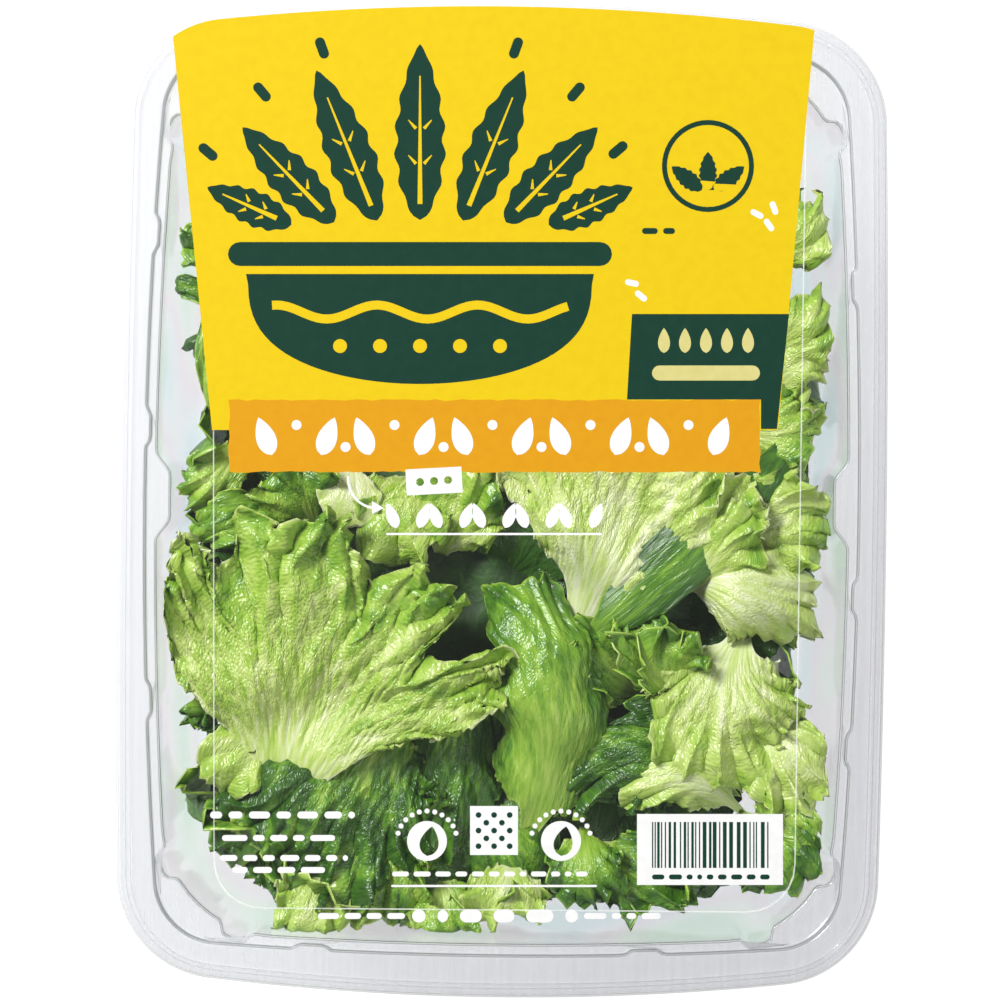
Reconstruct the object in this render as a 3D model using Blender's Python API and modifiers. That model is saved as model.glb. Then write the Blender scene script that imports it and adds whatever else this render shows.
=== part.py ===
"""Sealed clear tray of green leaf lettuce.

Three pieces: a thin thermoformed tray with a flanged rim and a stepped ledge, a flat film
sealed over the flange, and the heap of frilled leaves inside. Metres, +Z up, X across the
tray, Y along it, the foot on z = 0 and the origin under the middle.
"""

import math

import bmesh
import bpy
import numpy as np
from mathutils import Vector, noise

MM = 0.001

# Tray: outer edge of the rim, seen from above
TRAY_WIDTH = 184.0 * MM
TRAY_LENGTH = 237.8 * MM
TRAY_HEIGHT = 57.4 * MM
RIM_SIDE_RADIUS = 4300.0 * MM
RIM_END_RADIUS = 620.0 * MM
RIM_CORNER = 25.0 * MM
WALL = 0.6 * MM

# Tray: the step from the flange down to the ledge, and the mouth of the well inside it
STEP_WIDTH = 170.4 * MM
STEP_LENGTH = 217.6 * MM
STEP_SIDE_RADIUS = 1250.0 * MM
STEP_END_RADIUS = 1000.0 * MM
STEP_CORNER = 15.5 * MM
STEP_DEPTH = 3.4 * MM
LEDGE = 2.4 * MM
MOUTH_CORNER = 28.0 * MM
WELL_DRAFT = 7.0 * MM
LIP_DROP = 2.6 * MM
LIP_ROUND = 1.0 * MM

# Tray: how far the bends lean in or out, and the heights of the wall's bend and the foot
STEP_LEAN_OUT = 0.5 * MM
STEP_LEAN_IN = 0.3 * MM
SHOULDER_INSET = 1.0 * MM
SHOULDER_DROP = 9.0 * MM
SHOULDER_SHARE = 0.8
BEND_HEIGHT = 9.0 * MM
BEND_INSET = 2.4 * MM
BEND_LOW = 3.6 * MM
FOOT_OUTER = 8.0 * MM
FOOT_INNER = 15.0 * MM
FLOOR_INSET = 17.5 * MM
FLOOR_RISE = 1.8 * MM
SHARP_ANGLE = 40.0

# Places where the flange runs in over the ledge, along each side, and their size
NOTCHES = {
    "right": (51.8 * MM, -22.4 * MM, -58.5 * MM),
    "top": (44.2 * MM, -35.3 * MM),
    "left": (62.8 * MM, 16.5 * MM, -48.7 * MM),
    "bottom": (-44.2 * MM, 35.3 * MM),
}
NOTCH_DEPTH = 2.0 * MM
NOTCH_HALF = 5.0 * MM
NOTCH_RAMP = 2.0 * MM
# The middle of each long side, where the ledge widens, and the pockets in its corners
LUG_DEPTH = 3.4 * MM
LUG_HALF = 11.0 * MM
LUG_RAMP = 6.0 * MM
POCKET_DEPTH = 2.6 * MM
POCKETS = (0.23, 0.79)
POCKET_HALF = 0.11
POCKET_RAMP = 0.05

# Points of the tray's outlines: how far the straight parts reach, and how near two points come
LONG_SIDES = ("left", "right")
LONG_REACH = 76.0 * MM
SHORT_REACH = 54.0 * MM
STATION_GAP = 5.0 * MM

# Film lid
FILM_INSET = 1.0 * MM
FILM_THICKNESS = 0.3 * MM
FILM_GAP = 0.3 * MM

# Lettuce: the core, and the space that the leaves keep to
CORE_SIZE = (120.0 * MM, 168.0 * MM, 31.0 * MM)
CORE_CENTRE = (0.0, -2.0 * MM, 23.5 * MM)
CORE_LUMP = 5.0 * MM
CORE_LUMP_PITCH = 2.3
CORE_ROUNDING = 0.42
CORE_BALL = 1.3
LEAF_THICKNESS = 1.0 * MM
LEAF_ROWS = 5
LEAF_COLUMNS = 9
LEAF_START = 0.1
ROOT_WIDTH = 0.12
HEAP_HALF_X = 77.5 * MM
HEAP_HALF_Y = 102.5 * MM
HEAP_TAPER = 6.0 * MM
HEAP_CORNER = 26.0 * MM
HEAP_FOOT = 12.0 * MM
HEAP_FOOT_ROUND = 5.0 * MM
HEAP_TOP = 55.6 * MM
HEAP_FLOOR = 3.2 * MM
SOFTNESS = 1.5 * MM
UP = (0.0, 0.0, 1.0)
DOWN = (0.0, 0.0, -1.0)
SEED = 7

# Leaves on top, in millimetres: root, middle and tip of the midline, half width, spread of
# the margin in degrees, lift of the sides (below zero they fall), height of the frills, and
# the way that the face looks
TOP_LEAVES = (
    ((-55, -72, 40), (-46, -42, 50), (-37, -9, 51), 44, 84, 2, 3.0, UP),
    ((6, -84, 36), (11, -48, 54), (-3, -18, 46), 14, 125, -9, 0.5, UP),
    ((18, -28, 40), (27, 0, 51), (35, 34, 51), 32, 95, -2, 2.0, UP),
    ((36, -26, 38), (52, -15, 49), (70, -3, 49), 24, 105, -5, 2.0, UP),
    ((33, -56, 38), (30, -42, 47), (22, -29, 49), 17, 110, 4, 2.5, UP),
    ((62, -30, 38), (56, -52, 50), (62, -72, 46), 21, 115, -3, 2.2, UP),
    ((60, -78, 38), (38, -64, 49), (15, -72, 44), 17, 115, -4, 2.0, UP),
    ((-20, -44, 38), (-38, -70, 46), (-48, -94, 42), 23, 110, -2, 2.5, UP),
    ((-6, -32, 32), (-12, -58, 43), (-14, -88, 40), 15, 110, -6, 1.2, UP),
    ((-46, -6, 36), (-60, -1, 45), (-73, 3, 43), 15, 110, -2, 2.2, UP),
    ((-44, -14, 34), (-54, 0, 42), (-48, 16, 44), 15, 105, 2, 2.0, UP),
    ((-52, -62, 32), (-63, -50, 40), (-72, -38, 41), 14, 110, 2, 2.0, UP),
    ((-46, -86, 34), (-56, -78, 39), (-66, -70, 39), 13, 110, 2, 2.0, UP),
    ((-30, -2, 34), (-24, 10, 45), (-26, 30, 48), 19, 105, -2, 2.0, UP),
    ((8, -26, 34), (-4, -10, 44), (-10, 12, 48), 17, 105, 2, 2.0, UP),
    ((-12, -74, 34), (-8, -88, 41), (-2, -101, 37), 17, 110, 2, 2.2, UP),
    ((24, -72, 34), (32, -84, 42), (42, -96, 37), 16, 110, 2, 2.2, UP),
    ((54, -68, 34), (64, -76, 40), (70, -84, 37), 13, 110, 2, 2.0, UP),
    ((50, 10, 38), (62, 9, 48), (73, 12, 45), 14, 110, -2, 2.0, UP),
    ((52, 28, 36), (64, 40, 48), (71, 58, 46), 15, 105, -2, 2.0, UP),
    ((30, 58, 38), (50, 66, 49), (69, 76, 44), 20, 105, -2, 2.0, UP),
    ((-52, 26, 38), (-64, 44, 47), (-70, 62, 44), 16, 105, -2, 2.0, UP),
    ((-20, 40, 38), (-34, 64, 50), (-48, 86, 44), 26, 100, -2, 2.5, UP),
    ((16, 50, 38), (12, 74, 50), (8, 98, 44), 28, 100, -2, 2.5, UP),
)

# Leaves stood against the well's walls, in millimetres and degrees
WALL_LEAVES = 8
WALL_LEAF_HALF_WIDTH = 23.0
WALL_LEAF_SPREAD = 110.0
WALL_LEAF_LIFT = -3.0
WALL_LEAF_FRILL = 2.0
WALL_LEAF_GAP = 2.0
WALL_LEAF_FOOT = (6.0, 12.0)
WALL_LEAF_TOP = (38.0, 46.0)
WALL_LEAF_DRIFT = 14.0
WALL_LEAF_FOOT_SHARE = 0.84
WALL_LEAF_TOP_SHARE = 0.98
FACING_STRETCH = 1.15

# Leaves pressed flat on the well's floor, by their middles, in millimetres
FLOOR_LEAVES = ((-28, -50), (30, -44), (-30, 30), (28, 40))
FLOOR_LEAF_HALF_WIDTH = 25.0
FLOOR_LEAF_SPREAD = 110.0
FLOOR_LEAF_LIFT = -1.0
FLOOR_LEAF_FRILL = 1.5
FLOOR_LEAF_REACH = (24.0, 30.0)
FLOOR_LEAF_HEIGHTS = (9.0, 3.4, 5.0)


def clear_scene():
    for item in list(bpy.context.scene.objects):
        bpy.data.objects.remove(item, do_unlink=True)


def new_collection(name):
    group = bpy.data.collections.new(name)
    bpy.context.scene.collection.children.link(group)
    return group


def coloured(name, colour, roughness, alpha=1.0):
    material = bpy.data.materials.new(name)
    material.use_nodes = True
    shader = material.node_tree.nodes["Principled BSDF"]
    shader.inputs["Base Color"].default_value = (*colour, 1.0)
    shader.inputs["Roughness"].default_value = roughness
    shader.inputs["Metallic"].default_value = 0.0
    shader.inputs["Alpha"].default_value = alpha
    return material


def add_object(name, mesh, group, material=None):
    item = bpy.data.objects.new(name, mesh)
    group.objects.link(item)
    if material is not None:
        mesh.materials.append(material)
    return item


def ramp(value, start, end):
    return min(1.0, max(0.0, (value - start) / (end - start)))


def plateau(value, centre, half, slope):
    """One inside centre +/- (half - slope), falling evenly to zero at half."""
    return 1.0 - ramp(abs(value - centre), half - slope, half)


def corner_centre(side_centre, side_radius, end_centre, end_radius, corner):
    """Centre of the corner arc that meets the side arc and the end arc, by two circles."""
    reach_side = side_radius - corner
    reach_end = end_radius - corner
    across = end_centre - side_centre
    distance = across.length
    along = (reach_side ** 2 - reach_end ** 2 + distance ** 2) / (2.0 * distance)
    height = math.sqrt(reach_side ** 2 - along ** 2)
    forward = across / distance
    return side_centre + forward * along + Vector((-forward.y, forward.x)) * height


def side_stations(side, reach):
    """Places along one side, from end to end: each bump's bends and even ones between them,
    drawn together on the small outlines near the floor."""
    places = []
    for centre in NOTCHES[side]:
        for offset in (-NOTCH_HALF, NOTCH_RAMP - NOTCH_HALF, NOTCH_HALF - NOTCH_RAMP, NOTCH_HALF):
            places.append(centre + offset)
    usual = SHORT_REACH
    if side in LONG_SIDES:
        places += [-LUG_HALF, LUG_RAMP - LUG_HALF, LUG_HALF - LUG_RAMP, LUG_HALF]
        usual = LONG_REACH
    for even in (-usual / 2.0, 0.0, usual / 2.0):
        if all(abs(even - place) > STATION_GAP for place in places):
            places.append(even)
    scale = min(1.0, reach / usual)
    return [-reach] + sorted(place * scale for place in places) + [reach]


def corner_stations():
    """Places round one corner, from 0 to 1: both ends, the middle and each pocket's bends."""
    places = {0.0, 0.5, 1.0}
    for centre in POCKETS:
        for offset in (-POCKET_HALF, POCKET_RAMP - POCKET_HALF, POCKET_HALF - POCKET_RAMP, POCKET_HALF):
            places.add(centre + offset)
    return sorted(places)[1:-1]


def side_bump(side, along, notch, lug):
    """How far the line moves in at this place on a side."""
    depth = max(plateau(along, centre, NOTCH_HALF, NOTCH_RAMP) for centre in NOTCHES[side]) * notch
    if side in LONG_SIDES:
        depth += plateau(along, 0.0, LUG_HALF, LUG_RAMP) * lug
    return depth


def outline(half_x, half_y, side_radius, end_radius, corner, notch=0.0, lug=0.0, pocket=0.0):
    """Points of a bowed, round-cornered rectangle, counter-clockwise from the lower right.

    Every outline has the same stations, so that any two can be lofted.
    """
    side_centre = Vector((half_x - side_radius, 0.0))
    end_centre = Vector((0.0, half_y - end_radius))
    centre = corner_centre(side_centre, side_radius, end_centre, end_radius, corner)
    side_end = (centre - side_centre).normalized() * side_radius + side_centre
    end_end = (centre - end_centre).normalized() * end_radius + end_centre
    first = math.atan2(side_end.y - centre.y, side_end.x - centre.x)
    last = math.atan2(end_end.y - centre.y, end_end.x - centre.x)
    reach = {"right": side_end.y, "left": side_end.y, "top": end_end.x, "bottom": end_end.x}

    def side_points(side):
        points = []
        for along in side_stations(side, reach[side]):
            depth = side_bump(side, along, notch, lug)
            if side in LONG_SIDES:
                bow = math.sqrt(side_radius ** 2 - along ** 2) - side_radius
                points.append(Vector((half_x + bow - depth, along)))
            else:
                bow = math.sqrt(end_radius ** 2 - along ** 2) - end_radius
                points.append(Vector((along, half_y + bow - depth)))
        return points

    def corner_points():
        points = []
        for station in corner_stations():
            angle = first + (last - first) * station
            bulge = max(plateau(station, place, POCKET_HALF, POCKET_RAMP) for place in POCKETS) * pocket
            points.append(centre + Vector((math.cos(angle), math.sin(angle))) * (corner + bulge))
        return points

    corner_arc = corner_points()
    turned = list(reversed(corner_arc))
    loop = side_points("right") + corner_arc
    loop += list(reversed(side_points("top")))
    loop += [Vector((-point.x, point.y)) for point in turned]
    loop += [Vector((-point.x, point.y)) for point in reversed(side_points("left"))]
    loop += [Vector((-point.x, -point.y)) for point in corner_arc]
    loop += [Vector((point.x, -point.y)) for point in side_points("bottom")]
    loop += [Vector((point.x, -point.y)) for point in turned]
    return loop


def rim_outline(inset):
    return outline(TRAY_WIDTH / 2 - inset, TRAY_LENGTH / 2 - inset, RIM_SIDE_RADIUS - inset,
                   RIM_END_RADIUS - inset, RIM_CORNER - inset)


def step_outline(inset, notch):
    return outline(STEP_WIDTH / 2 - inset, STEP_LENGTH / 2 - inset, STEP_SIDE_RADIUS,
                   STEP_END_RADIUS, STEP_CORNER, notch=notch)


def well_outline(inset, lug=0.0, pocket=0.0):
    edge = LEDGE + inset
    return outline(STEP_WIDTH / 2 - edge, STEP_LENGTH / 2 - edge, STEP_SIDE_RADIUS,
                   STEP_END_RADIUS, MOUTH_CORNER - inset / 2, lug=lug, pocket=pocket)


def make_tray(group):
    """The upper face of the plastic, lofted from the lip to the floor, then given its wall."""
    top = TRAY_HEIGHT
    ledge = top - STEP_DEPTH
    rings = (
        (rim_outline(0.0), top - LIP_DROP),
        (rim_outline(LIP_ROUND), top),
        (step_outline(-STEP_LEAN_OUT, NOTCH_DEPTH), top),
        (step_outline(STEP_LEAN_IN, NOTCH_DEPTH), ledge),
        (well_outline(0.0, LUG_DEPTH, POCKET_DEPTH), ledge),
        (well_outline(SHOULDER_INSET, LUG_DEPTH * SHOULDER_SHARE, POCKET_DEPTH * SHOULDER_SHARE),
         top - SHOULDER_DROP),
        (well_outline(WELL_DRAFT), BEND_HEIGHT),
        (well_outline(WELL_DRAFT + BEND_INSET), BEND_LOW),
        (well_outline(WELL_DRAFT + FOOT_OUTER), WALL),
        (well_outline(WELL_DRAFT + FOOT_INNER), WALL),
        (well_outline(WELL_DRAFT + FLOOR_INSET), WALL + FLOOR_RISE),
    )
    mesh = bpy.data.meshes.new("tray")
    shape = bmesh.new()
    loops = [[shape.verts.new((point.x, point.y, height)) for point in line] for line, height in rings]
    count = len(loops[0])
    for outer, inner in zip(loops, loops[1:]):
        for index in range(count):
            following = (index + 1) % count
            shape.faces.new((outer[index], outer[following], inner[following], inner[index]))
    shape.faces.new(loops[-1])
    bmesh.ops.recalc_face_normals(shape, faces=shape.faces)
    shape.faces.ensure_lookup_table()
    if shape.faces[-1].normal.z < 0.0:
        bmesh.ops.reverse_faces(shape, faces=shape.faces)
    shape.to_mesh(mesh)
    shape.free()
    mesh.shade_smooth()
    mesh.set_sharp_from_angle(angle=math.radians(SHARP_ANGLE))
    tray = add_object("tray", mesh, group, coloured("Clear PET", (0.86, 0.88, 0.88), 0.06, 0.25))
    wall = tray.modifiers.new("Wall", "SOLIDIFY")
    wall.thickness = WALL
    wall.offset = -1.0
    wall.use_even_offset = True
    return tray


def make_film(group):
    """The flat film, cut a little inside the rim's edge."""
    mesh = bpy.data.meshes.new("lid_film")
    shape = bmesh.new()
    height = TRAY_HEIGHT + FILM_GAP
    shape.faces.new([shape.verts.new((point.x, point.y, height)) for point in rim_outline(FILM_INSET)])
    shape.to_mesh(mesh)
    shape.free()
    film = add_object("lid_film", mesh, group, coloured("Printed PET film", (0.95, 0.68, 0.02), 0.3, 0.4))
    thickness = film.modifiers.new("Thickness", "SOLIDIFY")
    thickness.thickness = FILM_THICKNESS
    thickness.offset = 1.0
    return film


def hold_inside(points):
    """Presses points that pass the well's walls, floor or film back inside, softly."""
    held = points.copy()
    held[:, 2] = HEAP_TOP - SOFTNESS * np.logaddexp(0.0, (HEAP_TOP - held[:, 2]) / SOFTNESS)
    held[:, 2] = HEAP_FLOOR + SOFTNESS * np.logaddexp(0.0, (held[:, 2] - HEAP_FLOOR) / SOFTNESS)
    narrowing = HEAP_TAPER * (1.0 - held[:, 2] / HEAP_TOP)
    narrowing += HEAP_FOOT_ROUND * np.maximum(0.0, 1.0 - held[:, 2] / HEAP_FOOT)
    side = np.abs(held[:, 0]) - (HEAP_HALF_X - narrowing - HEAP_CORNER)
    end = np.abs(held[:, 1]) - (HEAP_HALF_Y - narrowing - HEAP_CORNER)
    both = np.hypot(np.maximum(side, 0.0), np.maximum(end, 0.0))
    out_x = np.where(both > 0.0, np.maximum(side, 0.0) / np.maximum(both, 1e-9), 0.0)
    out_y = np.where(both > 0.0, np.maximum(end, 0.0) / np.maximum(both, 1e-9), 0.0)
    beyond = both - HEAP_CORNER
    move = -SOFTNESS * np.logaddexp(0.0, -beyond / SOFTNESS) - beyond
    held[:, 0] += np.sign(held[:, 0]) * out_x * move
    held[:, 1] += np.sign(held[:, 1]) * out_y * move
    return held


def leaf_surface(leaf):
    """Middle surface of one leaf: rays from the root to a rounded margin, bent along the
    midline, with the margin's columns lifted and lowered in turn as frills."""
    root, middle, tip, half_width, spread, lift, frill, face = leaf
    root, middle, tip = (np.array(point) * MM for point in (root, middle, tip))
    rows = np.linspace(LEAF_START, 1.0, LEAF_ROWS)
    columns = np.linspace(-1.0, 1.0, LEAF_COLUMNS)
    out, across = np.meshgrid(rows, columns, indexing="ij")
    angle = np.radians(spread) * across
    forward = (out * (1.0 + np.cos(angle)) / 2.0)[..., None]
    sideways = half_width * MM * (out * np.sin(angle) + ROOT_WIDTH * across * (1.0 - out))
    line = (root * (1.0 - forward) * (1.0 - 2.0 * forward) + middle * 4.0 * forward * (1.0 - forward)
            + tip * forward * (2.0 * forward - 1.0))
    heading = root * (4.0 * forward - 3.0) + middle * (4.0 - 8.0 * forward) + tip * (4.0 * forward - 1.0)
    heading /= np.linalg.norm(heading, axis=2, keepdims=True)
    side = np.cross(heading, np.array(face))
    side /= np.linalg.norm(side, axis=2, keepdims=True)
    normal = np.cross(side, heading)
    turn = np.where(np.arange(LEAF_COLUMNS) % 2 == 0, 1.0, -1.0)[None, :]
    height = lift * MM * (sideways / (half_width * MM)) ** 2 + frill * MM * out ** 3 * turn
    points = line + side * sideways[..., None] + normal * height[..., None]
    return hold_inside(points.reshape(-1, 3)).reshape(points.shape)


def leaf_normals(surface):
    """Normals of the grid, from the differences along its rows and columns."""
    down = np.gradient(surface, axis=0)
    along = np.gradient(surface, axis=1)
    normal = np.cross(down, along)
    return normal / np.linalg.norm(normal, axis=2, keepdims=True)


def make_leaf(name, leaf, group):
    """A closed thin leaf: the surface moved half a thickness each way, its rim joined."""
    surface = leaf_surface(leaf)
    normal = leaf_normals(surface) * (LEAF_THICKNESS / 2)
    shape = bmesh.new()
    grids = []
    for layer in (surface + normal, surface - normal):
        grids.append([[shape.verts.new(point) for point in row] for row in layer])
    for row in range(LEAF_ROWS - 1):
        for column in range(LEAF_COLUMNS - 1):
            for grid in grids:
                corners = (grid[row][column], grid[row][column + 1], grid[row + 1][column + 1],
                           grid[row + 1][column])
                order = (0, 1, 2), (0, 2, 3)
                for trio in order:
                    trio_corners = [corners[place] for place in trio]
                    shape.faces.new(trio_corners if grid is grids[0] else trio_corners[::-1])
    edge = [(0, column) for column in range(LEAF_COLUMNS)]
    edge += [(row, LEAF_COLUMNS - 1) for row in range(1, LEAF_ROWS)]
    edge += [(LEAF_ROWS - 1, column) for column in range(LEAF_COLUMNS - 2, -1, -1)]
    edge += [(row, 0) for row in range(LEAF_ROWS - 2, 0, -1)]
    for here, there in zip(edge, edge[1:] + edge[:1]):
        shape.faces.new((grids[0][there[0]][there[1]], grids[0][here[0]][here[1]],
                         grids[1][here[0]][here[1]], grids[1][there[0]][there[1]]))
    bmesh.ops.recalc_face_normals(shape, faces=shape.faces)
    mesh = bpy.data.meshes.new(name)
    shape.to_mesh(mesh)
    shape.free()
    return add_object(name, mesh, group)


def wall_leaves(random):
    """Leaves that stand against the walls, their faces outwards, evenly round the well."""
    leaves = []
    for index in range(WALL_LEAVES):
        angle = 2.0 * math.pi * (index + 0.5) / WALL_LEAVES
        facing = Vector((math.cos(angle) * FACING_STRETCH, math.sin(angle), 0.0)).normalized()
        reach_x = HEAP_HALF_X / MM - WALL_LEAF_GAP
        reach_y = HEAP_HALF_Y / MM - WALL_LEAF_GAP
        reach = 1.0 / max(abs(facing.x) / reach_x, abs(facing.y) / reach_y)
        spot = facing * reach
        low, high = random.uniform(*WALL_LEAF_FOOT), random.uniform(*WALL_LEAF_TOP)
        drift = random.uniform(-WALL_LEAF_DRIFT, WALL_LEAF_DRIFT)
        foot = spot * WALL_LEAF_FOOT_SHARE
        tip = spot * WALL_LEAF_TOP_SHARE + Vector((-facing.y, facing.x, 0.0)) * drift
        leaves.append(((foot.x, foot.y, low), (spot.x, spot.y, (low + high) / 2.0), (tip.x, tip.y, high),
                       WALL_LEAF_HALF_WIDTH, WALL_LEAF_SPREAD, WALL_LEAF_LIFT, WALL_LEAF_FRILL,
                       tuple(facing)))
    return leaves


def floor_leaves(random):
    """Leaves pressed flat on the well's floor, seen from below."""
    leaves = []
    root_height, middle_height, tip_height = FLOOR_LEAF_HEIGHTS
    for x, y in FLOOR_LEAVES:
        turn = random.uniform(0.0, 2.0 * math.pi)
        ahead = Vector((math.cos(turn), math.sin(turn))) * random.uniform(*FLOOR_LEAF_REACH)
        leaves.append(((x - ahead.x, y - ahead.y, root_height), (x, y, middle_height),
                       (x + ahead.x, y + ahead.y, tip_height), FLOOR_LEAF_HALF_WIDTH,
                       FLOOR_LEAF_SPREAD, FLOOR_LEAF_LIFT, FLOOR_LEAF_FRILL, DOWN))
    return leaves


def make_core(name, group):
    """A lumpy block that fills the middle of the heap."""
    mesh = bpy.data.meshes.new(name)
    shape = bmesh.new()
    bmesh.ops.create_cube(shape, size=2.0)
    bmesh.ops.subdivide_edges(shape, edges=shape.edges, cuts=4, use_grid_fill=True)
    for vert in shape.verts:
        blend = vert.co.lerp(vert.co.normalized() * CORE_BALL, CORE_ROUNDING)
        lump = noise.noise(blend * CORE_LUMP_PITCH + Vector((SEED, 0.0, 0.0))) * CORE_LUMP
        vert.co = Vector(CORE_CENTRE) + Vector(
            blend[axis] * CORE_SIZE[axis] / 2.0 + blend.normalized()[axis] * lump for axis in range(3))
    bmesh.ops.triangulate(shape, faces=shape.faces)
    shape.to_mesh(mesh)
    shape.free()
    return add_object(name, mesh, group, coloured("Green leaf lettuce", (0.28, 0.46, 0.09), 0.45))


def shell_volume(faces):
    """Signed volume inside a closed set of faces: below zero where it walls in a hollow."""
    total = 0.0
    for face in faces:
        first, second, third = (vert.co for vert in face.verts)
        total += first.dot(second.cross(third)) / 6.0
    return total


def keep_main_body(mesh):
    """Drops loose scraps and fills hollows that the union sealed: the largest shell stays."""
    shape = bmesh.new()
    shape.from_mesh(mesh)
    bmesh.ops.triangulate(shape, faces=shape.faces)
    left = set(shape.faces)
    shells = []
    while left:
        reached = [left.pop()]
        shell = []
        while reached:
            face = reached.pop()
            shell.append(face)
            for edge in face.edges:
                for other in edge.link_faces:
                    if other in left:
                        left.remove(other)
                        reached.append(other)
        shells.append(shell)
    main = max(shells, key=shell_volume)
    for shell in shells:
        if shell is not main:
            bmesh.ops.delete(shape, geom=shell, context="FACES")
    stray = [vert for vert in shape.verts if not vert.link_faces]
    bmesh.ops.delete(shape, geom=stray, context="VERTS")
    shape.to_mesh(mesh)
    shape.free()


def make_lettuce(group):
    """The core with every leaf fused on by one union."""
    pieces = new_collection("leaves_to_fuse")
    random = np.random.default_rng(SEED)
    for index, leaf in enumerate(list(TOP_LEAVES) + wall_leaves(random) + floor_leaves(random)):
        make_leaf(f"leaf_{index:02d}", leaf, pieces)
    core = make_core("lettuce", group)
    union = core.modifiers.new("Leaves", "BOOLEAN")
    union.operation = "UNION"
    union.operand_type = "COLLECTION"
    union.collection = pieces
    union.solver = "MANIFOLD"
    evaluated = core.evaluated_get(bpy.context.evaluated_depsgraph_get())
    fused = bpy.data.meshes.new_from_object(evaluated)
    core.modifiers.clear()
    core.data = fused
    for piece in list(pieces.objects):
        bpy.data.objects.remove(piece, do_unlink=True)
    bpy.data.collections.remove(pieces)
    keep_main_body(fused)
    return core


def main():
    clear_scene()
    group = new_collection("sealed_salad_tray")
    make_tray(group)
    make_film(group)
    make_lettuce(group)


main()
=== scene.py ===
import math

import bpy
import numpy as np
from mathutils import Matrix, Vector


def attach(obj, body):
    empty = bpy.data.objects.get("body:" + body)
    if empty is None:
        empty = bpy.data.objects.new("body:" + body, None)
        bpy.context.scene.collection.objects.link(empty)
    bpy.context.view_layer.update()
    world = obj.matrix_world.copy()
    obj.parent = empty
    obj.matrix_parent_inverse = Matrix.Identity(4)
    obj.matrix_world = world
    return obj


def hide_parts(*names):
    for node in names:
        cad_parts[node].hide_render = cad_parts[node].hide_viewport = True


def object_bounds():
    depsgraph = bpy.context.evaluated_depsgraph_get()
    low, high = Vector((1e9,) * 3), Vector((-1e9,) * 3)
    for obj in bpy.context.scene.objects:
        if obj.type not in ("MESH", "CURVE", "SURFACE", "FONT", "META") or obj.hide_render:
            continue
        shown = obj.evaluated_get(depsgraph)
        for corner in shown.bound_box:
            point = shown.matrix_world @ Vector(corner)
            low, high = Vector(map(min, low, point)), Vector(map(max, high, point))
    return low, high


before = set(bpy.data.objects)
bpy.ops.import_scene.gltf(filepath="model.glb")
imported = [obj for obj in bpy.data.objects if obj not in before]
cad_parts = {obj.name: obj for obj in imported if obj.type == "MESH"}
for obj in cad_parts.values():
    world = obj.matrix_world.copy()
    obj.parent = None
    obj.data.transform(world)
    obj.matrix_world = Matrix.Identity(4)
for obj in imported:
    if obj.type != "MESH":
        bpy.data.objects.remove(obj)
cadLow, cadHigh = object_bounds()
print("frame loaded")

mm = 0.001
filmTop = cadHigh.z    # the highest that anything may reach

# How the photograph looks down on the pack: the pack is turned a little under an upright print
photo = {
    "pixel": 0.2387,    # mm on the film for one pixel
    "pixels": 1000.0,
    "middle": 500.0,
    "shiftX": -0.48,    # mm, the picture's middle against the tray's
    "turn": math.radians(0.68),
    "height": 1300.0,    # mm from the film up to the camera
    "sensor": 36.0,
}


def fromPhoto(x, y):    # a pixel of the photograph as a place on the film, in metres
    right = (x - photo["middle"]) * photo["pixel"]
    up = (photo["middle"] - y) * photo["pixel"]
    cosine, sine = math.cos(photo["turn"]), math.sin(photo["turn"])
    return ((photo["shiftX"] + right * cosine - up * sine) * mm, (right * sine + up * cosine) * mm)


def linear(code):    # "#rrggbb" as linear red, green, blue and alpha
    parts = [int(code[place:place + 2], 16) / 255.0 for place in (1, 3, 5)]
    return [part / 12.92 if part <= 0.04045 else ((part + 0.055) / 1.055) ** 2.4 for part in parts] + [1.0]


def addNode(tree, kind, settings=None, links=None):    # one node, its own values and what feeds it
    node = tree.nodes.new(kind)
    for name, value in (settings or {}).items():
        if name == "stops":    # (place, colour) pairs along a colour ramp
            stops = node.color_ramp.elements
            stops.remove(stops[-1])
            stops[0].position = value[0][0]
            stops[0].color = linear(value[0][1])
            for place, code in value[1:]:
                stops.new(place).color = linear(code)
        elif isinstance(name, str) and hasattr(node, name):
            setattr(node, name, value)
        else:
            node.inputs[name].default_value = value
    for name, source in (links or {}).items():    # a node stands for its first output
        tree.links.new(source.outputs[0] if hasattr(source, "outputs") else source, node.inputs[name])
    return node


def glossShare(tree, least, most):    # share that a clear face mirrors, more when seen aslant
    facing = addNode(tree, "ShaderNodeLayerWeight", {"Blend": 0.5}).outputs["Facing"]
    steep = addNode(tree, "ShaderNodeMath", {"operation": "POWER", 1: 5.0}, {0: facing})
    return addNode(tree, "ShaderNodeMath", {"operation": "MULTIPLY_ADD", 1: most - least, 2: least},
                   {0: steep})


def newMaterial(name):
    material = bpy.data.materials.new(name)
    material.use_nodes = True
    material.node_tree.nodes.clear()
    return material, material.node_tree


def onlySelect(item):
    bpy.ops.object.select_all(action="DESELECT")
    item.select_set(True)
    bpy.context.view_layer.objects.active = item


def applyAll(item):
    onlySelect(item)
    for modifier in list(item.modifiers):
        bpy.ops.object.modifier_apply(modifier=modifier.name)


def sheetGrid(name, points):    # a grid primitive whose points are then put in place
    rows, columns = points.shape[:2]
    bpy.ops.object.select_all(action="DESELECT")
    bpy.ops.mesh.primitive_grid_add(x_subdivisions=columns - 1, y_subdivisions=rows - 1, size=1.0)
    item = bpy.context.active_object
    item.name = name
    item.data.vertices.foreach_set("co", points.reshape(-1).astype(np.float32))
    item.data.update()
    return item


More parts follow.
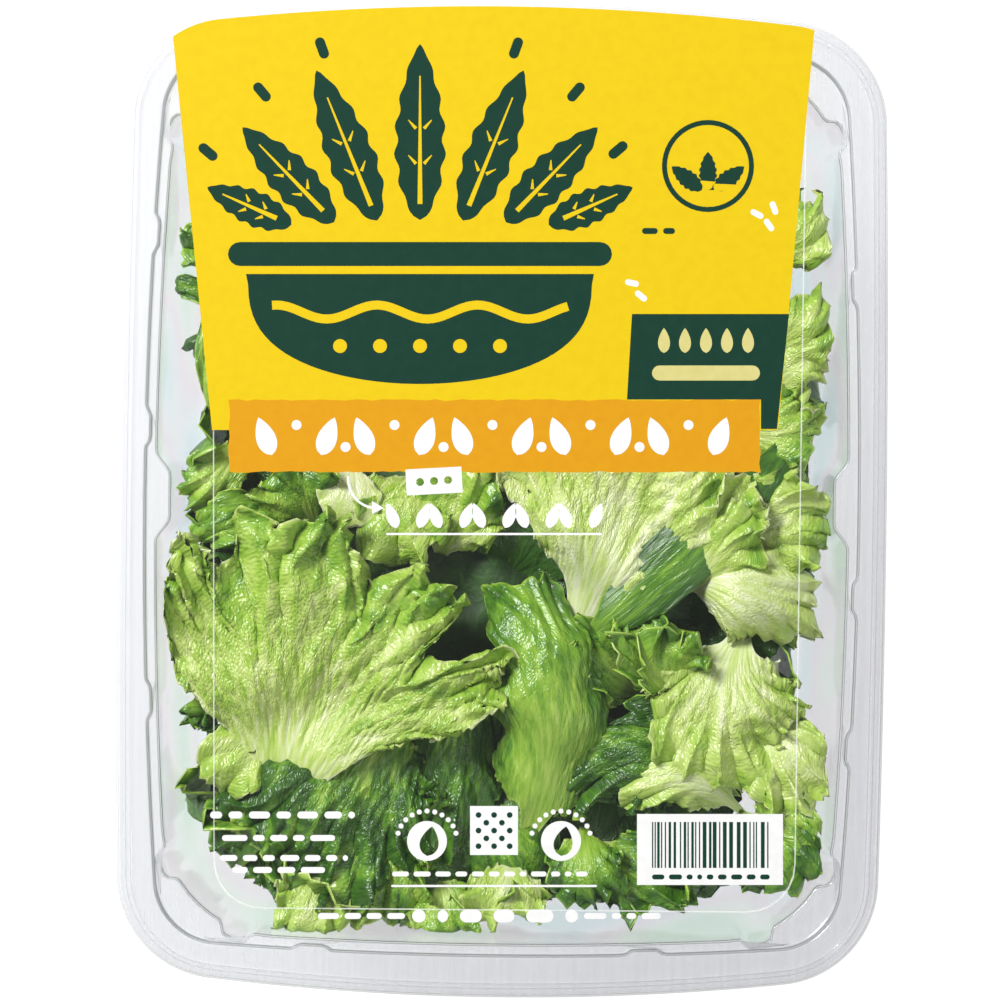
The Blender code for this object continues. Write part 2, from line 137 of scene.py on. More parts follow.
def joinPieces(name, items):
    bpy.ops.object.select_all(action="DESELECT")
    for item in items:
        item.select_set(True)
    bpy.context.view_layer.objects.active = items[0]
    if len(items) > 1:
        bpy.ops.object.join()
    joined = bpy.context.active_object
    joined.name = name
    joined.data.name = name
    return joined


# Tray: the upper face of the plastic, in mm, which follows the CAD's tray
tray = {
    "width": 184.0, "length": 237.8, "height": 57.4, "wall": 0.45,
    "rimSide": 4300.0, "rimEnd": 620.0, "rimCorner": 25.0,
    "stepWidth": 170.4, "stepLength": 217.6, "stepSide": 1250.0, "stepEnd": 1000.0,
    "stepCorner": 15.5, "stepDepth": 3.4, "ledge": 2.4, "mouthCorner": 28.0, "draft": 7.0,
    "notches": {"right": (51.8, -22.4, -58.5), "top": (44.2, -35.3),
                "left": (62.8, 16.5, -48.7), "bottom": (-44.2, 35.3)},
    "notchDepth": 1.1, "notchHalf": 5.0, "notchRamp": 2.2,
    "lugDepth": 3.4, "lugHalf": 11.0, "lugRamp": 6.0,
    "pocketDepth": 2.6, "pockets": (0.23, 0.79), "pocketHalf": 0.11, "pocketRamp": 0.06,
    "sideSpan": 76.0, "endSpan": 54.0,    # half of a side and of an end, between the corners
    "sidePoints": 150, "endPoints": 112, "cornerPoints": 36,
}
trayProfile = {    # mm: insets from the rim, the step or the mouth, each with a drop, a rise or a height
    "lip": ((0.0, 2.6), (0.02, 1.7), (0.16, 0.8), (0.5, 0.28), (1.0, 0.04), (1.5, 0.0)),
    "ridges": ((2.1, 0.0), (2.2, 0.12), (2.34, 0.12), (2.44, 0.0), (3.2, 0.0), (3.3, 0.1), (3.4, 0.1),
               (3.5, 0.0)),
    "flange": (4.6, -0.8),    # from the rim and from the step
    "stepTop": ((-0.45, 0.05), (-0.2, 0.3), (-0.08, 0.8)),
    "stepFoot": ((0.08, 0.9), (0.16, 0.3), (0.32, 0.06), (0.55, 0.0)),
    "mouth": ((-0.45, 1.0, 0.0), (-0.25, 1.0, 0.06), (-0.08, 1.0, 0.35), (0.0, 1.0, 0.9), (0.06, 1.0, 2.0),
              (0.5, 0.9, 3.5)),    # the second is the share that the lugs and pockets have
    "wallTop": (1.0, 0.8, 9.0), "wallFoot": 9.0,
    "foot": ((7.7, 6.4), (9.0, 4.0), (10.8, 2.2), (12.8, 1.0), (15.0, 0.45), (18.5, 0.45), (22.0, 0.45),
             (22.8, 0.8), (23.6, 1.6), (24.5, 2.2), (26.0, 2.4)),
    "floor": ((0.8, 2.4), (0.5, 2.3), (0.2, 2.2), (0.02, 2.2)),
}


def smooth(value):
    value = np.clip(value, 0.0, 1.0)
    return value * value * (3.0 - 2.0 * value)


def bump(along, centre, half, slope):
    return smooth((half - np.abs(along - centre)) / slope)


# A closed line in metres: bowed sides and ends with round corners, notched, lugged or pocketed
def ringLine(halfX, halfY, sideRadius, endRadius, corner, notch=0.0, lug=0.0, pocket=0.0):
    sideCentre = np.array([halfX - sideRadius, 0.0])
    endCentre = np.array([0.0, halfY - endRadius])
    across = endCentre - sideCentre
    distance = np.hypot(*across)
    toSide, toEnd = sideRadius - corner, endRadius - corner
    along = (toSide ** 2 - toEnd ** 2 + distance ** 2) / (2.0 * distance)
    rise = math.sqrt(toSide ** 2 - along ** 2)
    ahead = across / distance
    centre = sideCentre + ahead * along + np.array([-ahead[1], ahead[0]]) * rise
    sideEnd = (centre - sideCentre) / np.hypot(*(centre - sideCentre)) * sideRadius + sideCentre
    endEnd = (centre - endCentre) / np.hypot(*(centre - endCentre)) * endRadius + endCentre
    first = math.atan2(sideEnd[1] - centre[1], sideEnd[0] - centre[0])
    last = math.atan2(endEnd[1] - centre[1], endEnd[0] - centre[0])
    scaleY = min(1.0, sideEnd[1] / tray["sideSpan"])
    scaleX = min(1.0, endEnd[0] / tray["endSpan"])

    def side(name):
        y = np.linspace(-sideEnd[1], sideEnd[1], tray["sidePoints"])
        depth = sum(bump(y / scaleY, place, tray["notchHalf"], tray["notchRamp"])
                    for place in tray["notches"][name]) * notch
        depth = depth + bump(y / scaleY, 0.0, tray["lugHalf"], tray["lugRamp"]) * lug
        x = halfX + np.sqrt(sideRadius ** 2 - y ** 2) - sideRadius - depth
        return np.stack([x, y], axis=1)

    def end(name):
        x = np.linspace(-endEnd[0], endEnd[0], tray["endPoints"])
        depth = sum(bump(x / scaleX, place, tray["notchHalf"], tray["notchRamp"])
                    for place in tray["notches"][name]) * notch
        y = halfY + np.sqrt(endRadius ** 2 - x ** 2) - endRadius - depth
        return np.stack([x, y], axis=1)

    station = np.linspace(0.0, 1.0, tray["cornerPoints"] + 2)[1:-1]
    bulge = sum(bump(station, place, tray["pocketHalf"], tray["pocketRamp"])
                for place in tray["pockets"]) * pocket
    angle = first + (last - first) * station
    arc = centre + np.stack([np.cos(angle), np.sin(angle)], axis=1) * (corner + bulge)[:, None]
    left, up, both = np.array([-1, 1]), np.array([1, -1]), np.array([-1, -1])
    loop = [side("right"), arc, end("top")[::-1], (arc * left)[::-1], (side("left") * left)[::-1],
            arc * both, end("bottom") * up, (arc * up)[::-1]]
    return np.concatenate(loop) * mm


def rimLine(inset):
    return ringLine(tray["width"] / 2 - inset, tray["length"] / 2 - inset, tray["rimSide"] - inset,
                    tray["rimEnd"] - inset, tray["rimCorner"] - inset)


def stepLine(inset, notch=tray["notchDepth"]):
    return ringLine(tray["stepWidth"] / 2 - inset, tray["stepLength"] / 2 - inset, tray["stepSide"],
                    tray["stepEnd"], tray["stepCorner"], notch=notch)


def wellLine(inset, share=0.0):
    edge = tray["ledge"] + inset
    return ringLine(tray["stepWidth"] / 2 - edge, tray["stepLength"] / 2 - edge, tray["stepSide"],
                    tray["stepEnd"], tray["mouthCorner"] - inset / 2,
                    lug=tray["lugDepth"] * share, pocket=tray["pocketDepth"] * share)


def closeRings(name, rings, wall):    # rings of (line, height in mm), outside first, to a closed shell
    points = np.array([np.column_stack([line, np.full(len(line), height * mm)]) for line, height in rings])
    points = np.concatenate([points, points[:, :1]], axis=1)
    shell = sheetGrid(name, points)
    onlySelect(shell)
    bpy.ops.object.mode_set(mode="EDIT")
    bpy.ops.mesh.select_all(action="SELECT")
    bpy.ops.mesh.remove_doubles(threshold=0.00001)
    bpy.ops.mesh.select_all(action="DESELECT")
    bpy.ops.object.mode_set(mode="OBJECT")
    last = rings[-1][0]
    reach = np.hypot(last[:, 0], last[:, 1]).max() * 1.001
    for vertex in shell.data.vertices:
        vertex.select = math.hypot(vertex.co.x, vertex.co.y) < reach
    bpy.ops.object.mode_set(mode="EDIT")
    bpy.ops.mesh.select_mode(type="VERT")
    bpy.ops.mesh.edge_face_add()
    bpy.ops.mesh.select_all(action="SELECT")
    bpy.ops.mesh.normals_make_consistent(inside=False)
    bpy.ops.object.mode_set(mode="OBJECT")
    middle = max(shell.data.polygons, key=lambda face: len(face.vertices))
    if middle.normal.z < 0.0:
        shell.data.flip_normals()
    thickness = shell.modifiers.new("Wall", "SOLIDIFY")
    thickness.thickness = wall * mm
    thickness.offset = -1.0
    applyAll(shell)
    bpy.ops.object.shade_smooth_by_angle(angle=math.radians(50))
    return shell


def makeTray():
    top, draft = tray["height"], tray["draft"]
    ledge = top - tray["stepDepth"]
    rings = [(rimLine(inset), top - drop) for inset, drop in trayProfile["lip"]]
    rings += [(rimLine(inset), top + rise) for inset, rise in trayProfile["ridges"]]
    outer, inner = rimLine(trayProfile["flange"][0]), stepLine(trayProfile["flange"][1])
    rings += [(outer + (inner - outer) * share, top) for share in (0.0, 0.5, 1.0)]
    rings += [(stepLine(inset), top - drop) for inset, drop in trayProfile["stepTop"]]
    rings += [(stepLine(inset), ledge + rise) for inset, rise in trayProfile["stepFoot"]]
    rings += [(wellLine(inset, lug), ledge - drop) for inset, lug, drop in trayProfile["mouth"]]
    inset, lug, drop = trayProfile["wallTop"]
    wallTop = top - drop
    for share in (0.0, 0.2, 0.4, 0.6, 0.8, 1.0):    # the drawn wall, whose lugs fade out towards the foot
        rings.append((wellLine(inset + (draft - inset) * share, lug * (1.0 - share)),
                      wallTop + (trayProfile["wallFoot"] - wallTop) * share))
    rings += [(wellLine(inset), height) for inset, height in trayProfile["foot"]]
    floorLine = wellLine(trayProfile["foot"][-1][0])
    rings += [(floorLine * share, height) for share, height in trayProfile["floor"]]
    return closeRings("trayShell", rings, tray["wall"])


def plasticMaterial():    # vacuum-formed clear PET: painted grey lines where the sheet turns steep, a cloudy flange with painted shade, paler towards the key light
    material, tree = newMaterial("thermoformedClearPet")
    tinting = {"data_type": "RGBA", "blend_type": "MULTIPLY"}
    place = addNode(tree, "ShaderNodeTexCoord").outputs["Object"]
    height = addNode(tree, "ShaderNodeSeparateXYZ", links={0: place}).outputs["Z"]
    facing = addNode(tree, "ShaderNodeLayerWeight", {"Blend": 0.35}).outputs["Facing"]
    edgeTint = addNode(tree, "ShaderNodeValToRGB", {"stops": (
        (0.0, "#fcfdfd"), (0.70, "#f4f6f6"), (0.84, "#d9dcde"), (1.0, "#85898e"))}, {0: facing})
    sheen = addNode(tree, "ShaderNodeTexNoise", {"Scale": 1.0 / (34.0 * mm), "Detail": 0.0},
                    {"Vector": place})    # pale patches of strained plastic
    pastel = addNode(tree, "ShaderNodeValToRGB", {"stops": (
        (0.30, "#f4fbf5"), (0.42, "#fbfcfa"), (0.50, "#fcf8fa"), (0.60, "#fafbfc"), (0.70, "#f4fafb"))},
        {0: sheen})
    inWell = addNode(tree, "ShaderNodeMapRange", {"From Min": 50.0 * mm, "From Max": 54.0 * mm,
                                                  "To Min": 1.0, "To Max": 0.0}, {0: height})
    tinted = addNode(tree, "ShaderNodeMix", tinting, {0: inWell, 6: edgeTint, 7: pastel}).outputs[2]
    level = addNode(tree, "ShaderNodeMapRange", {"From Min": 50.0 * mm, "From Max": 58.0 * mm}, {0: height})
    paintedBendShade = addNode(tree, "ShaderNodeValToRGB", {"stops": (
        (0.26, "#ffffff"), (0.30, "#7c8085"), (0.43, "#7c8085"), (0.47, "#ffffff"), (0.58, "#ffffff"),
        (0.62, "#7c8085"), (0.80, "#7c8085"), (0.84, "#ffffff"))}, {0: level})    # painted shade: grey bands at the mouth and the step, where the steep clear wall looks dark
    steep = addNode(tree, "ShaderNodeMapRange", {"From Min": 0.42, "From Max": 0.6}, {0: facing})
    lined = addNode(tree, "ShaderNodeMix", tinting, {0: steep, 6: tinted, 7: paintedBendShade}).outputs[2]
    clear = addNode(tree, "ShaderNodeBsdfTransparent", links={"Color": lined})
    streaks = addNode(tree, "ShaderNodeMapping", {"Scale": (900.0, 60.0, 60.0)}, {"Vector": place})
    drawn = addNode(tree, "ShaderNodeTexNoise", {"Scale": 1.0, "Detail": 1.0}, {"Vector": streaks})
    cloudHeight = addNode(tree, "ShaderNodeMapRange", {"From Min": 50.0 * mm, "From Max": 54.0 * mm,
                                                       "To Min": 0.02, "To Max": 0.36}, {0: height})
    streaky = addNode(tree, "ShaderNodeMapRange", {"From Min": 0.3, "From Max": 0.7,
                                                   "To Min": 0.95, "To Max": 1.05}, {0: drawn})
    cloudy = addNode(tree, "ShaderNodeMath", {"operation": "MULTIPLY"}, {0: streaky, 1: cloudHeight})
    lean = addNode(tree, "ShaderNodeVectorMath", {"operation": "DOT_PRODUCT", 1: (3.2, -2.6, 0.0)},
                   {0: place})
    shade = addNode(tree, "ShaderNodeMapRange", {"From Min": -0.4, "From Max": 0.4},
                    {0: lean.outputs["Value"]})    # painted light: paler at the upper left, towards the key light, darker at the lower right
    # the milky cloud's grey, darkened towards the lower right as painted shade
    cloudAndPaintedShade = addNode(tree, "ShaderNodeValToRGB", {"stops": (
        (0.0, "#e2e2e4"), (0.5, "#d1d1d3"), (1.0, "#b6b5b8"))}, {0: shade})
    cloud = addNode(tree, "ShaderNodeBsdfDiffuse", links={"Color": cloudAndPaintedShade})
    body = addNode(tree, "ShaderNodeMixShader", links={0: cloudy, 1: clear, 2: cloud})
    ripple = addNode(tree, "ShaderNodeTexNoise", {"Scale": 1.0 / (9.0 * mm), "Detail": 0.0},
                     {"Vector": place})
    relief = addNode(tree, "ShaderNodeBump", {"Strength": 0.12, "Distance": 0.4 * mm}, {"Height": ripple})
    shine = addNode(tree, "ShaderNodeBsdfGlossy", {"Color": linear("#ffffff"), "Roughness": 0.06},
                    {"Normal": relief})
    whole = addNode(tree, "ShaderNodeMixShader", links={0: glossShare(tree, 0.05, 0.35), 1: body, 2: shine})
    addNode(tree, "ShaderNodeOutputMaterial", links={"Surface": whole})
    return material


def setMaterial(item, material):
    item.data.materials.clear()
    item.data.materials.append(material)


trayShell = makeTray()
setMaterial(trayShell, plasticMaterial())
trayShell.visible_shadow = False    # clear plastic: its lines are drawn, its shade is too faint to show
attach(trayShell, "root")
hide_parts("tray")
print("tray shell made")


# Film: clear PET sealed over the flange, nearly flat
film = {    # mm
    "inset": 1.0, "height": 57.78, "thickness": 0.05, "wave": 0.03, "slackX": 82.0, "slackY": 105.0,
    "seal": 12.0, "rings": 40,
}


def filmHeight(x, y):    # metres; slack between the seals, flat on the flange
    wave = (np.sin(x / 0.0131 + y / 0.033) + np.sin(y / 0.0173 - x / 0.041 + 1.7)
            + np.sin((x + y) / 0.024 + 0.6))
    inside = smooth((film["slackX"] * mm - np.abs(x)) / (film["seal"] * mm))
    inside *= smooth((film["slackY"] * mm - np.abs(y)) / (film["seal"] * mm))
    return (film["height"] + film["wave"] * wave * inside / 2.0) * mm


def makeFilm():
    edge = rimLine(film["inset"])
    rings = []
    for share in np.linspace(1.0, 0.01, film["rings"]):
        rings.append((edge[::3] * share, film["height"]))
    sheet = closeRings("filmSheet", rings, film["thickness"])
    count = len(sheet.data.vertices)
    places = np.empty(count * 3, np.float32)
    sheet.data.vertices.foreach_get("co", places)
    places = places.reshape(-1, 3)
    places[:, 2] += filmHeight(places[:, 0], places[:, 1]) - film["height"] * mm
    sheet.data.vertices.foreach_set("co", places.reshape(-1))
    sheet.data.update()
    return sheet


def filmMaterial():    # cast PET lidding film: clear, faintly silvery, with a soft drawn ripple in its gloss
    material, tree = newMaterial("clearLiddingFilm")
    place = addNode(tree, "ShaderNodeTexCoord").outputs["Object"]
    ripple = addNode(tree, "ShaderNodeTexNoise", {"Scale": 1.0 / (22.0 * mm), "Detail": 1.0},
                     {"Vector": place})
    polish = addNode(tree, "ShaderNodeMapRange", {"To Min": 0.05, "To Max": 0.13}, {0: ripple})
    haze = addNode(tree, "ShaderNodeMapRange", {"To Min": 0.001, "To Max": 0.008}, {0: ripple})
    clear = addNode(tree, "ShaderNodeBsdfTransparent", {"Color": linear("#fdfdfe")})
    dust = addNode(tree, "ShaderNodeBsdfDiffuse", {"Color": linear("#f0f1f4")})
    body = addNode(tree, "ShaderNodeMixShader", links={0: haze, 1: clear, 2: dust})
    shine = addNode(tree, "ShaderNodeBsdfGlossy", {"Color": linear("#ffffff")}, {"Roughness": polish})
    whole = addNode(tree, "ShaderNodeMixShader", links={0: glossShare(tree, 0.035, 1.0), 1: body, 2: shine})
    addNode(tree, "ShaderNodeOutputMaterial", links={"Surface": whole})
    return material


filmSheet = makeFilm()
setMaterial(filmSheet, filmMaterial())
filmSheet.visible_shadow = False    # as clear as the tray
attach(filmSheet, "root")
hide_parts("lid_film")
print("film made")


# Print: generic shapes in flat inks, each a thin layer on the film; places are pixels of the photograph
inks = {
    "yellow": {"colour": "#dabb0d", "deep": "#d7b70b"},
    "orange": {"colour": "#d19411", "deep": "#ce900f"},
    "green": {"colour": "#0e3629", "deep": "#11392c"},
    "white": {"colour": "#e6e6e5", "deep": "#e0e0df"},
    "cream": {"colour": "#ccc47f", "deep": "#c7be76"},
}
inkLayers = {0: 57.83, 1: 57.86, 2: 57.895, 3: 57.93, 4: 57.965}    # mm, the underside of each layer
inkThickness = 0.02    # mm, thicker than real ink so that it stays a closed layer


def inkMaterial(name, colours):    # gravure ink under gloss: even, with a fine mottle
    material, tree = newMaterial(name + "Ink")
    place = addNode(tree, "ShaderNodeTexCoord").outputs["Object"]
    mottle = addNode(tree, "ShaderNodeTexNoise", {"Scale": 1.0 / (2.5 * mm), "Detail": 4.0},
                     {"Vector": place})
    tint = addNode(tree, "ShaderNodeValToRGB", {"stops": ((0.3, colours["deep"]), (0.6, colours["colour"]))},
                   {0: mottle})
    ink = addNode(tree, "ShaderNodeBsdfPrincipled", {"Roughness": 0.42, "Specular IOR Level": 0.25},
                  {"Base Color": tint})
    addNode(tree, "ShaderNodeOutputMaterial", links={"Surface": ink})
    return material


def disc(x, y, radius, points=28):
    turns = [2.0 * math.pi * place / points for place in range(points)]
    return [(x + radius * math.cos(turn), y + radius * math.sin(turn)) for turn in turns]


def bar(x, y, length, height, turn=0.0, roundness=0.5):    # a rounded bar about its middle
    radius = height * roundness
    corners = []
    for sideX, sideY, start in ((1, 1, 0), (-1, 1, 90), (-1, -1, 180), (1, -1, 270)):
        for step in range(5):
            angle = math.radians(start + step * 22.5)
            corners.append((sideX * (length / 2 - radius) + radius * math.cos(angle),
                            sideY * (height / 2 - radius) + radius * math.sin(angle)))
    return turned(corners, x, y, turn)


def turned(points, x, y, turn):    # moved to x, y and turned clockwise in the picture by degrees
    cosine, sine = math.cos(math.radians(turn)), math.sin(math.radians(turn))
    return [(x + a * cosine - b * sine, y + a * sine + b * cosine) for a, b in points]


def leafShape(x, y, length, width, turn, tip=0.75):    # pointed oval from its foot at x, y; turn 0 points up
    points = []
    for place in np.linspace(0.0, 1.0, 15):
        half = width / 2 * math.sin(math.pi * place ** tip) ** 0.8
        points.append((half, -length * place))
    points += [(-a, b) for a, b in reversed(points[1:-1])]
    return turned(points, x, y, turn)


def vein(x, y, start, end, width, turn):    # a slim slit along a leaf
    return turned([(width / 2, -start), (width * 0.15, -end), (-width * 0.15, -end), (-width / 2, -start)],
                  x, y, turn)


def stroke(points, width):    # a line of even width along points
    line = np.array(points, float)
    ahead = np.gradient(line, axis=0)
    ahead /= np.hypot(ahead[:, 0], ahead[:, 1])[:, None]
    across = np.stack([-ahead[:, 1], ahead[:, 0]], axis=1) * width / 2
    return [tuple(point) for point in np.concatenate([line + across, (line - across)[::-1]])]


def inkPiece(name, ink, layer, shapes, places=None):    # flat curves filled to a thin closed layer
    curve = bpy.data.curves.new(name, "CURVE")
    curve.dimensions = "2D"
    curve.fill_mode = "BOTH"
    curve.extrude = inkThickness * mm / 2
    for shape in shapes:
        spline = curve.splines.new("POLY")
        spline.points.add(len(shape) - 1)
        for point, place in zip(spline.points, shape):
            x, y = place if places == "metres" else fromPhoto(*place)
            point.co = (x, y, 0.0, 1.0)
        spline.use_cyclic_u = True
    item = bpy.data.objects.new(name, curve)
    bpy.context.scene.collection.objects.link(item)
    item.location.z = (inkLayers[layer] + inkThickness / 2) * mm
    onlySelect(item)
    bpy.ops.object.convert(target="MESH")
    item = bpy.context.active_object
    bpy.ops.object.transform_apply(location=True, rotation=True, scale=True)
    bpy.ops.object.mode_set(mode="EDIT")
    bpy.ops.mesh.select_all(action="SELECT")
    bpy.ops.mesh.remove_doubles(threshold=0.000001)
    bpy.ops.mesh.normals_make_consistent(inside=False)
    bpy.ops.object.mode_set(mode="OBJECT")
    setMaterial(item, inkMaterials[ink])
    item.visible_shadow = False    # its shade would darken the leaves beside the print
    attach(item, "root")
    return item


def scoreMaterial():    # a cut in clear film: half clear, with the white of its rough lips
    material, tree = newMaterial("filmScore")
    place = addNode(tree, "ShaderNodeTexCoord").outputs["Object"]
    broken = addNode(tree, "ShaderNodeTexNoise", {"Scale": 1.0 / (6.0 * mm), "Detail": 2.0},
                     {"Vector": place})
    share = addNode(tree, "ShaderNodeMapRange", {"From Min": 0.3, "From Max": 0.7,
                                                 "To Min": 0.26, "To Max": 0.42}, {0: broken})
    clear = addNode(tree, "ShaderNodeBsdfTransparent", {"Color": linear("#fbfbfb")})
    lips = addNode(tree, "ShaderNodeBsdfDiffuse", {"Color": linear("#e8eae4")})
    whole = addNode(tree, "ShaderNodeMixShader", links={0: share, 1: clear, 2: lips})
    addNode(tree, "ShaderNodeOutputMaterial", links={"Surface": whole})
    return material


inkMaterials = {name: inkMaterial(name, colours) for name, colours in inks.items()}
inkMaterials["score"] = scoreMaterial()
random = np.random.default_rng(11)


def yellowField():    # its top follows the film's edge
    edge = rimLine(film["inset"] + 0.05)
    corners = [fromPhoto(*corner) for corner in ((212, 430), (172, 33), (816, 33), (778, 430))]
    between = [(x, y) for x, y in edge if y > 0.09 and corners[1][0] < x < corners[2][0]]
    between.sort(key=lambda place: place[0])
    return [corners[0]] + between + [corners[3]]


def roughBand(left, top, right, bottom):    # a band whose edges are a little torn, as if brushed
    points = []
    for (x0, y0), (x1, y1) in (((left, top), (right, top)), ((right, top), (right, bottom)),
                               ((right, bottom), (left, bottom)), ((left, bottom), (left, top))):
        steps = max(3, int(math.hypot(x1 - x0, y1 - y0) / 9))
        for step in range(steps):
            share = step / steps
            points.append((x0 + (x1 - x0) * share + random.uniform(-0.9, 0.9),
                           y0 + (y1 - y0) * share + random.uniform(-0.9, 0.9)))
    return points


def scallopedLeaf(x, y, length, width, turn):    # a plain salad leaf with a wavy edge
    points = []
    for place in np.linspace(0.0, 1.0, 46):
        half = width / 2 * math.sin(math.pi * place ** 0.82) ** 0.7 * (1.0 + 0.09 * math.sin(place * 38.0))
        points.append((half, -length * place))
    points += [(-a, b) for a, b in reversed(points[1:-1])]
    return turned(points, x, y, turn)


def dashes(left, right, y, height, longest=26):    # a row of short bars of mixed lengths
    row = []
    x = left
    while x < right - 4:
        length = min(random.uniform(0.35, 1.0) * longest, right - x)
        row.append(bar(x + length / 2, y, length, height))
        x += length + height * 0.9
    return row


def fanArt():    # plain leaves that fan out of the bowl, their veins left open
    shapes = []
    for turn, length, width in ((-66, 92, 34), (-44, 132, 42), (-22, 162, 46), (0, 176, 48),
                                (22, 162, 46), (44, 132, 42), (66, 92, 34)):
        x, y = 420 + turn * 1.95, 228 - 8 * math.cos(math.radians(turn))
        shapes.append(scallopedLeaf(x, y, length, width, turn))
        shapes.append(vein(x, y, 16, length * 0.82, 5.0, turn))
        for along, lean in ((0.32, -48), (0.32, -132), (0.52, -48), (0.52, -132)):
            aside = math.copysign(4.0, lean + 90)
            foot = turned([(aside, -length * along)], x, y, turn)[0]
            slit = [(0, 1.8), (width * 0.24, 0.5), (width * 0.24, -0.5), (0, -1.8)]
            shapes.append(turned(slit, foot[0], foot[1], turn + lean))
    return shapes


def bowlArt():    # the bowl under them, with a wavy stripe left open
    bowl = [(246, 274)] + [(420 + 172 * math.cos(turn), 278 + 106 * math.sin(turn) ** 0.72)
                           for turn in np.linspace(math.pi - 0.02, 0.02, 44)] + [(594, 274)]
    wave = [(x, 312 + 7 * math.sin(x / 16.0)) for x in np.linspace(272, 568, 60)]
    beads = [disc(340 + step * 40, 346, 7) for step in range(5)]
    return [bar(420, 254, 384, 24), bowl, stroke(wave, 9)] + beads


def scoreLine():    # a fine cut in the film that scatters light: a rounded frame a little inside the seal
    corners = ((213, 60, 48, 180), (806, 60, 48, 270), (795, 912, 48, 0), (214, 908, 48, 90))
    middle = []
    for x, y, radius, start in corners:
        aside = radius if x < 500 else -radius
        down = radius if y < 500 else -radius
        for step in range(7):
            angle = math.radians(start + step * 15)
            middle.append((x + aside + radius * math.cos(angle), y + down + radius * math.sin(angle)))
    return [[(500 + (x - 500) * scaleX, 490 + (y - 490) * scaleY) for x, y in middle]
            for scaleX, scaleY in ((1.0022, 1.0016), (0.9978, 0.9984))]


def printedArt():
    inkPiece("scoreLine", "score", 0, scoreLine())
    inkPiece("yellowField", "yellow", 1, [yellowField()], places="metres")
    inkPiece("orangeBand", "orange", 2, [roughBand(229, 400, 760, 472)])
    inkPiece("greenPanel", "green", 3, [[(632, 314), (789, 314), (777, 429), (761, 429), (761, 399.5),
                                         (627, 399.5)]])
    inkPiece("leafFan", "green", 2, fanArt())
    inkPiece("saladBowl", "green", 3, bowlArt())
    seeds = [bar(x, y, 22, 10, turn) for x, y, turn in ((208, 152, 40), (262, 92, 50), (322, 48, 70),
                                                        (516, 48, 110), (576, 92, 130), (618, 150, 140))]
    badge = [disc(708, 166, 46, 48), disc(708, 166, 41, 48)]
    for turn in (-52, 0, 52):
        badge.append(scallopedLeaf(708 + turn * 0.12, 190, 38, 17, turn))
    inkPiece("smallArt", "green", 4, seeds + badge + dashes(642, 682, 231, 6, 20))
    strokes = [bar(x, y, 14, 6, turn) for x, y, turn in ((757, 214, 28), (769, 225, 55), (774, 208, 70),
                                                         (632, 283, 12), (641, 296, 40))]
    inkPiece("whiteStrokes", "white", 2, strokes)
    bandRow = [leafShape(272 + step * 49, 455, 40, 20, 20 if step % 2 else -20) for step in range(10)]
    bandRow += [disc(296.5 + step * 49, 436 + (11 if step % 2 else -11), 5) for step in range(9)]
    inkPiece("bandArt", "white", 3, bandRow)
    panelArt = [leafShape(664 + step * 21, 353, 25, 12, 0) for step in range(5)]
    panelArt += [bar(706, 373, 108, 15)]
    inkPiece("panelArt", "cream", 4, panelArt)
    tag = turned([(-28, -13), (28, -13), (28, 13), (-28, 13)], 434, 481, -3)
    inkPiece("whiteTag", "white", 3, [tag, disc(420, 482, 4), disc(434, 481, 4), disc(448, 480, 4)])
    turns = np.linspace(math.pi * 1.02, math.pi * 0.5, 16)
    arrow = [(376 + 28 * math.cos(turn), 478 + 30 * math.sin(turn)) for turn in turns]
    inkPiece("curvedArrow", "white", 3, [stroke(arrow, 2.4)])
    inkPiece("arrowHead", "white", 4, [[(372, 501), (384, 508), (372, 514)]])
    garland = [leafShape(397 + step * 21.6, 528, 27, 12, 22 if step % 2 else -22) for step in range(10)]
    lower = dashes(210, 355, 815, 7) + dashes(222, 342, 838, 6) + dashes(220, 348, 858, 6)
    lower += dashes(232, 334, 870, 6) + dashes(392, 596, 874, 5, 18)
    lower += dashes(318, 405, 916, 6) + dashes(412, 578, 916, 13, 30) + dashes(584, 668, 916, 6)
    lines = [bar(494, 534, 216, 2.2), bar(494, 886, 206, 2.2)]
    badges = []
    for x in (427, 561):
        badges += [disc(x, 841, 20, 40), leafShape(x, 856, 30, 19, 10)]
        for turn in range(-75, 76, 15):
            spot = turned([(0, -30)], x, 841, turn)[0]
            badges.append(disc(spot[0], spot[1], 2.6, 10))
    inkPiece("whiteShapes", "white", 3, garland + lower + lines + badges)
    inkPiece("whitePanels", "white", 2, [[(470, 806), (518, 806), (518, 855), (470, 855)],
                                         [(637, 814), (783, 814), (783, 885), (637, 885)]])
    dots = [disc(478.5 + column * 7.8, 815 + row * 7.8, 2.9, 12) for row in range(5) for column in range(5)
            if (row + column) % 2 == 0]
    bars = []
    x = 652.0
    while x < 768.0:
        width = random.choice([1.3, 1.3, 2.5, 3.8])
        bars.append([(x, 822), (x + width, 822), (x + width, 868), (x, 868)])
        x += width + random.choice([1.3, 2.5, 2.5, 3.8])
    inkPiece("darkMarks", "green", 3, dots + bars + dashes(652, 770, 877, 5, 14))


printedArt()
print("print made")
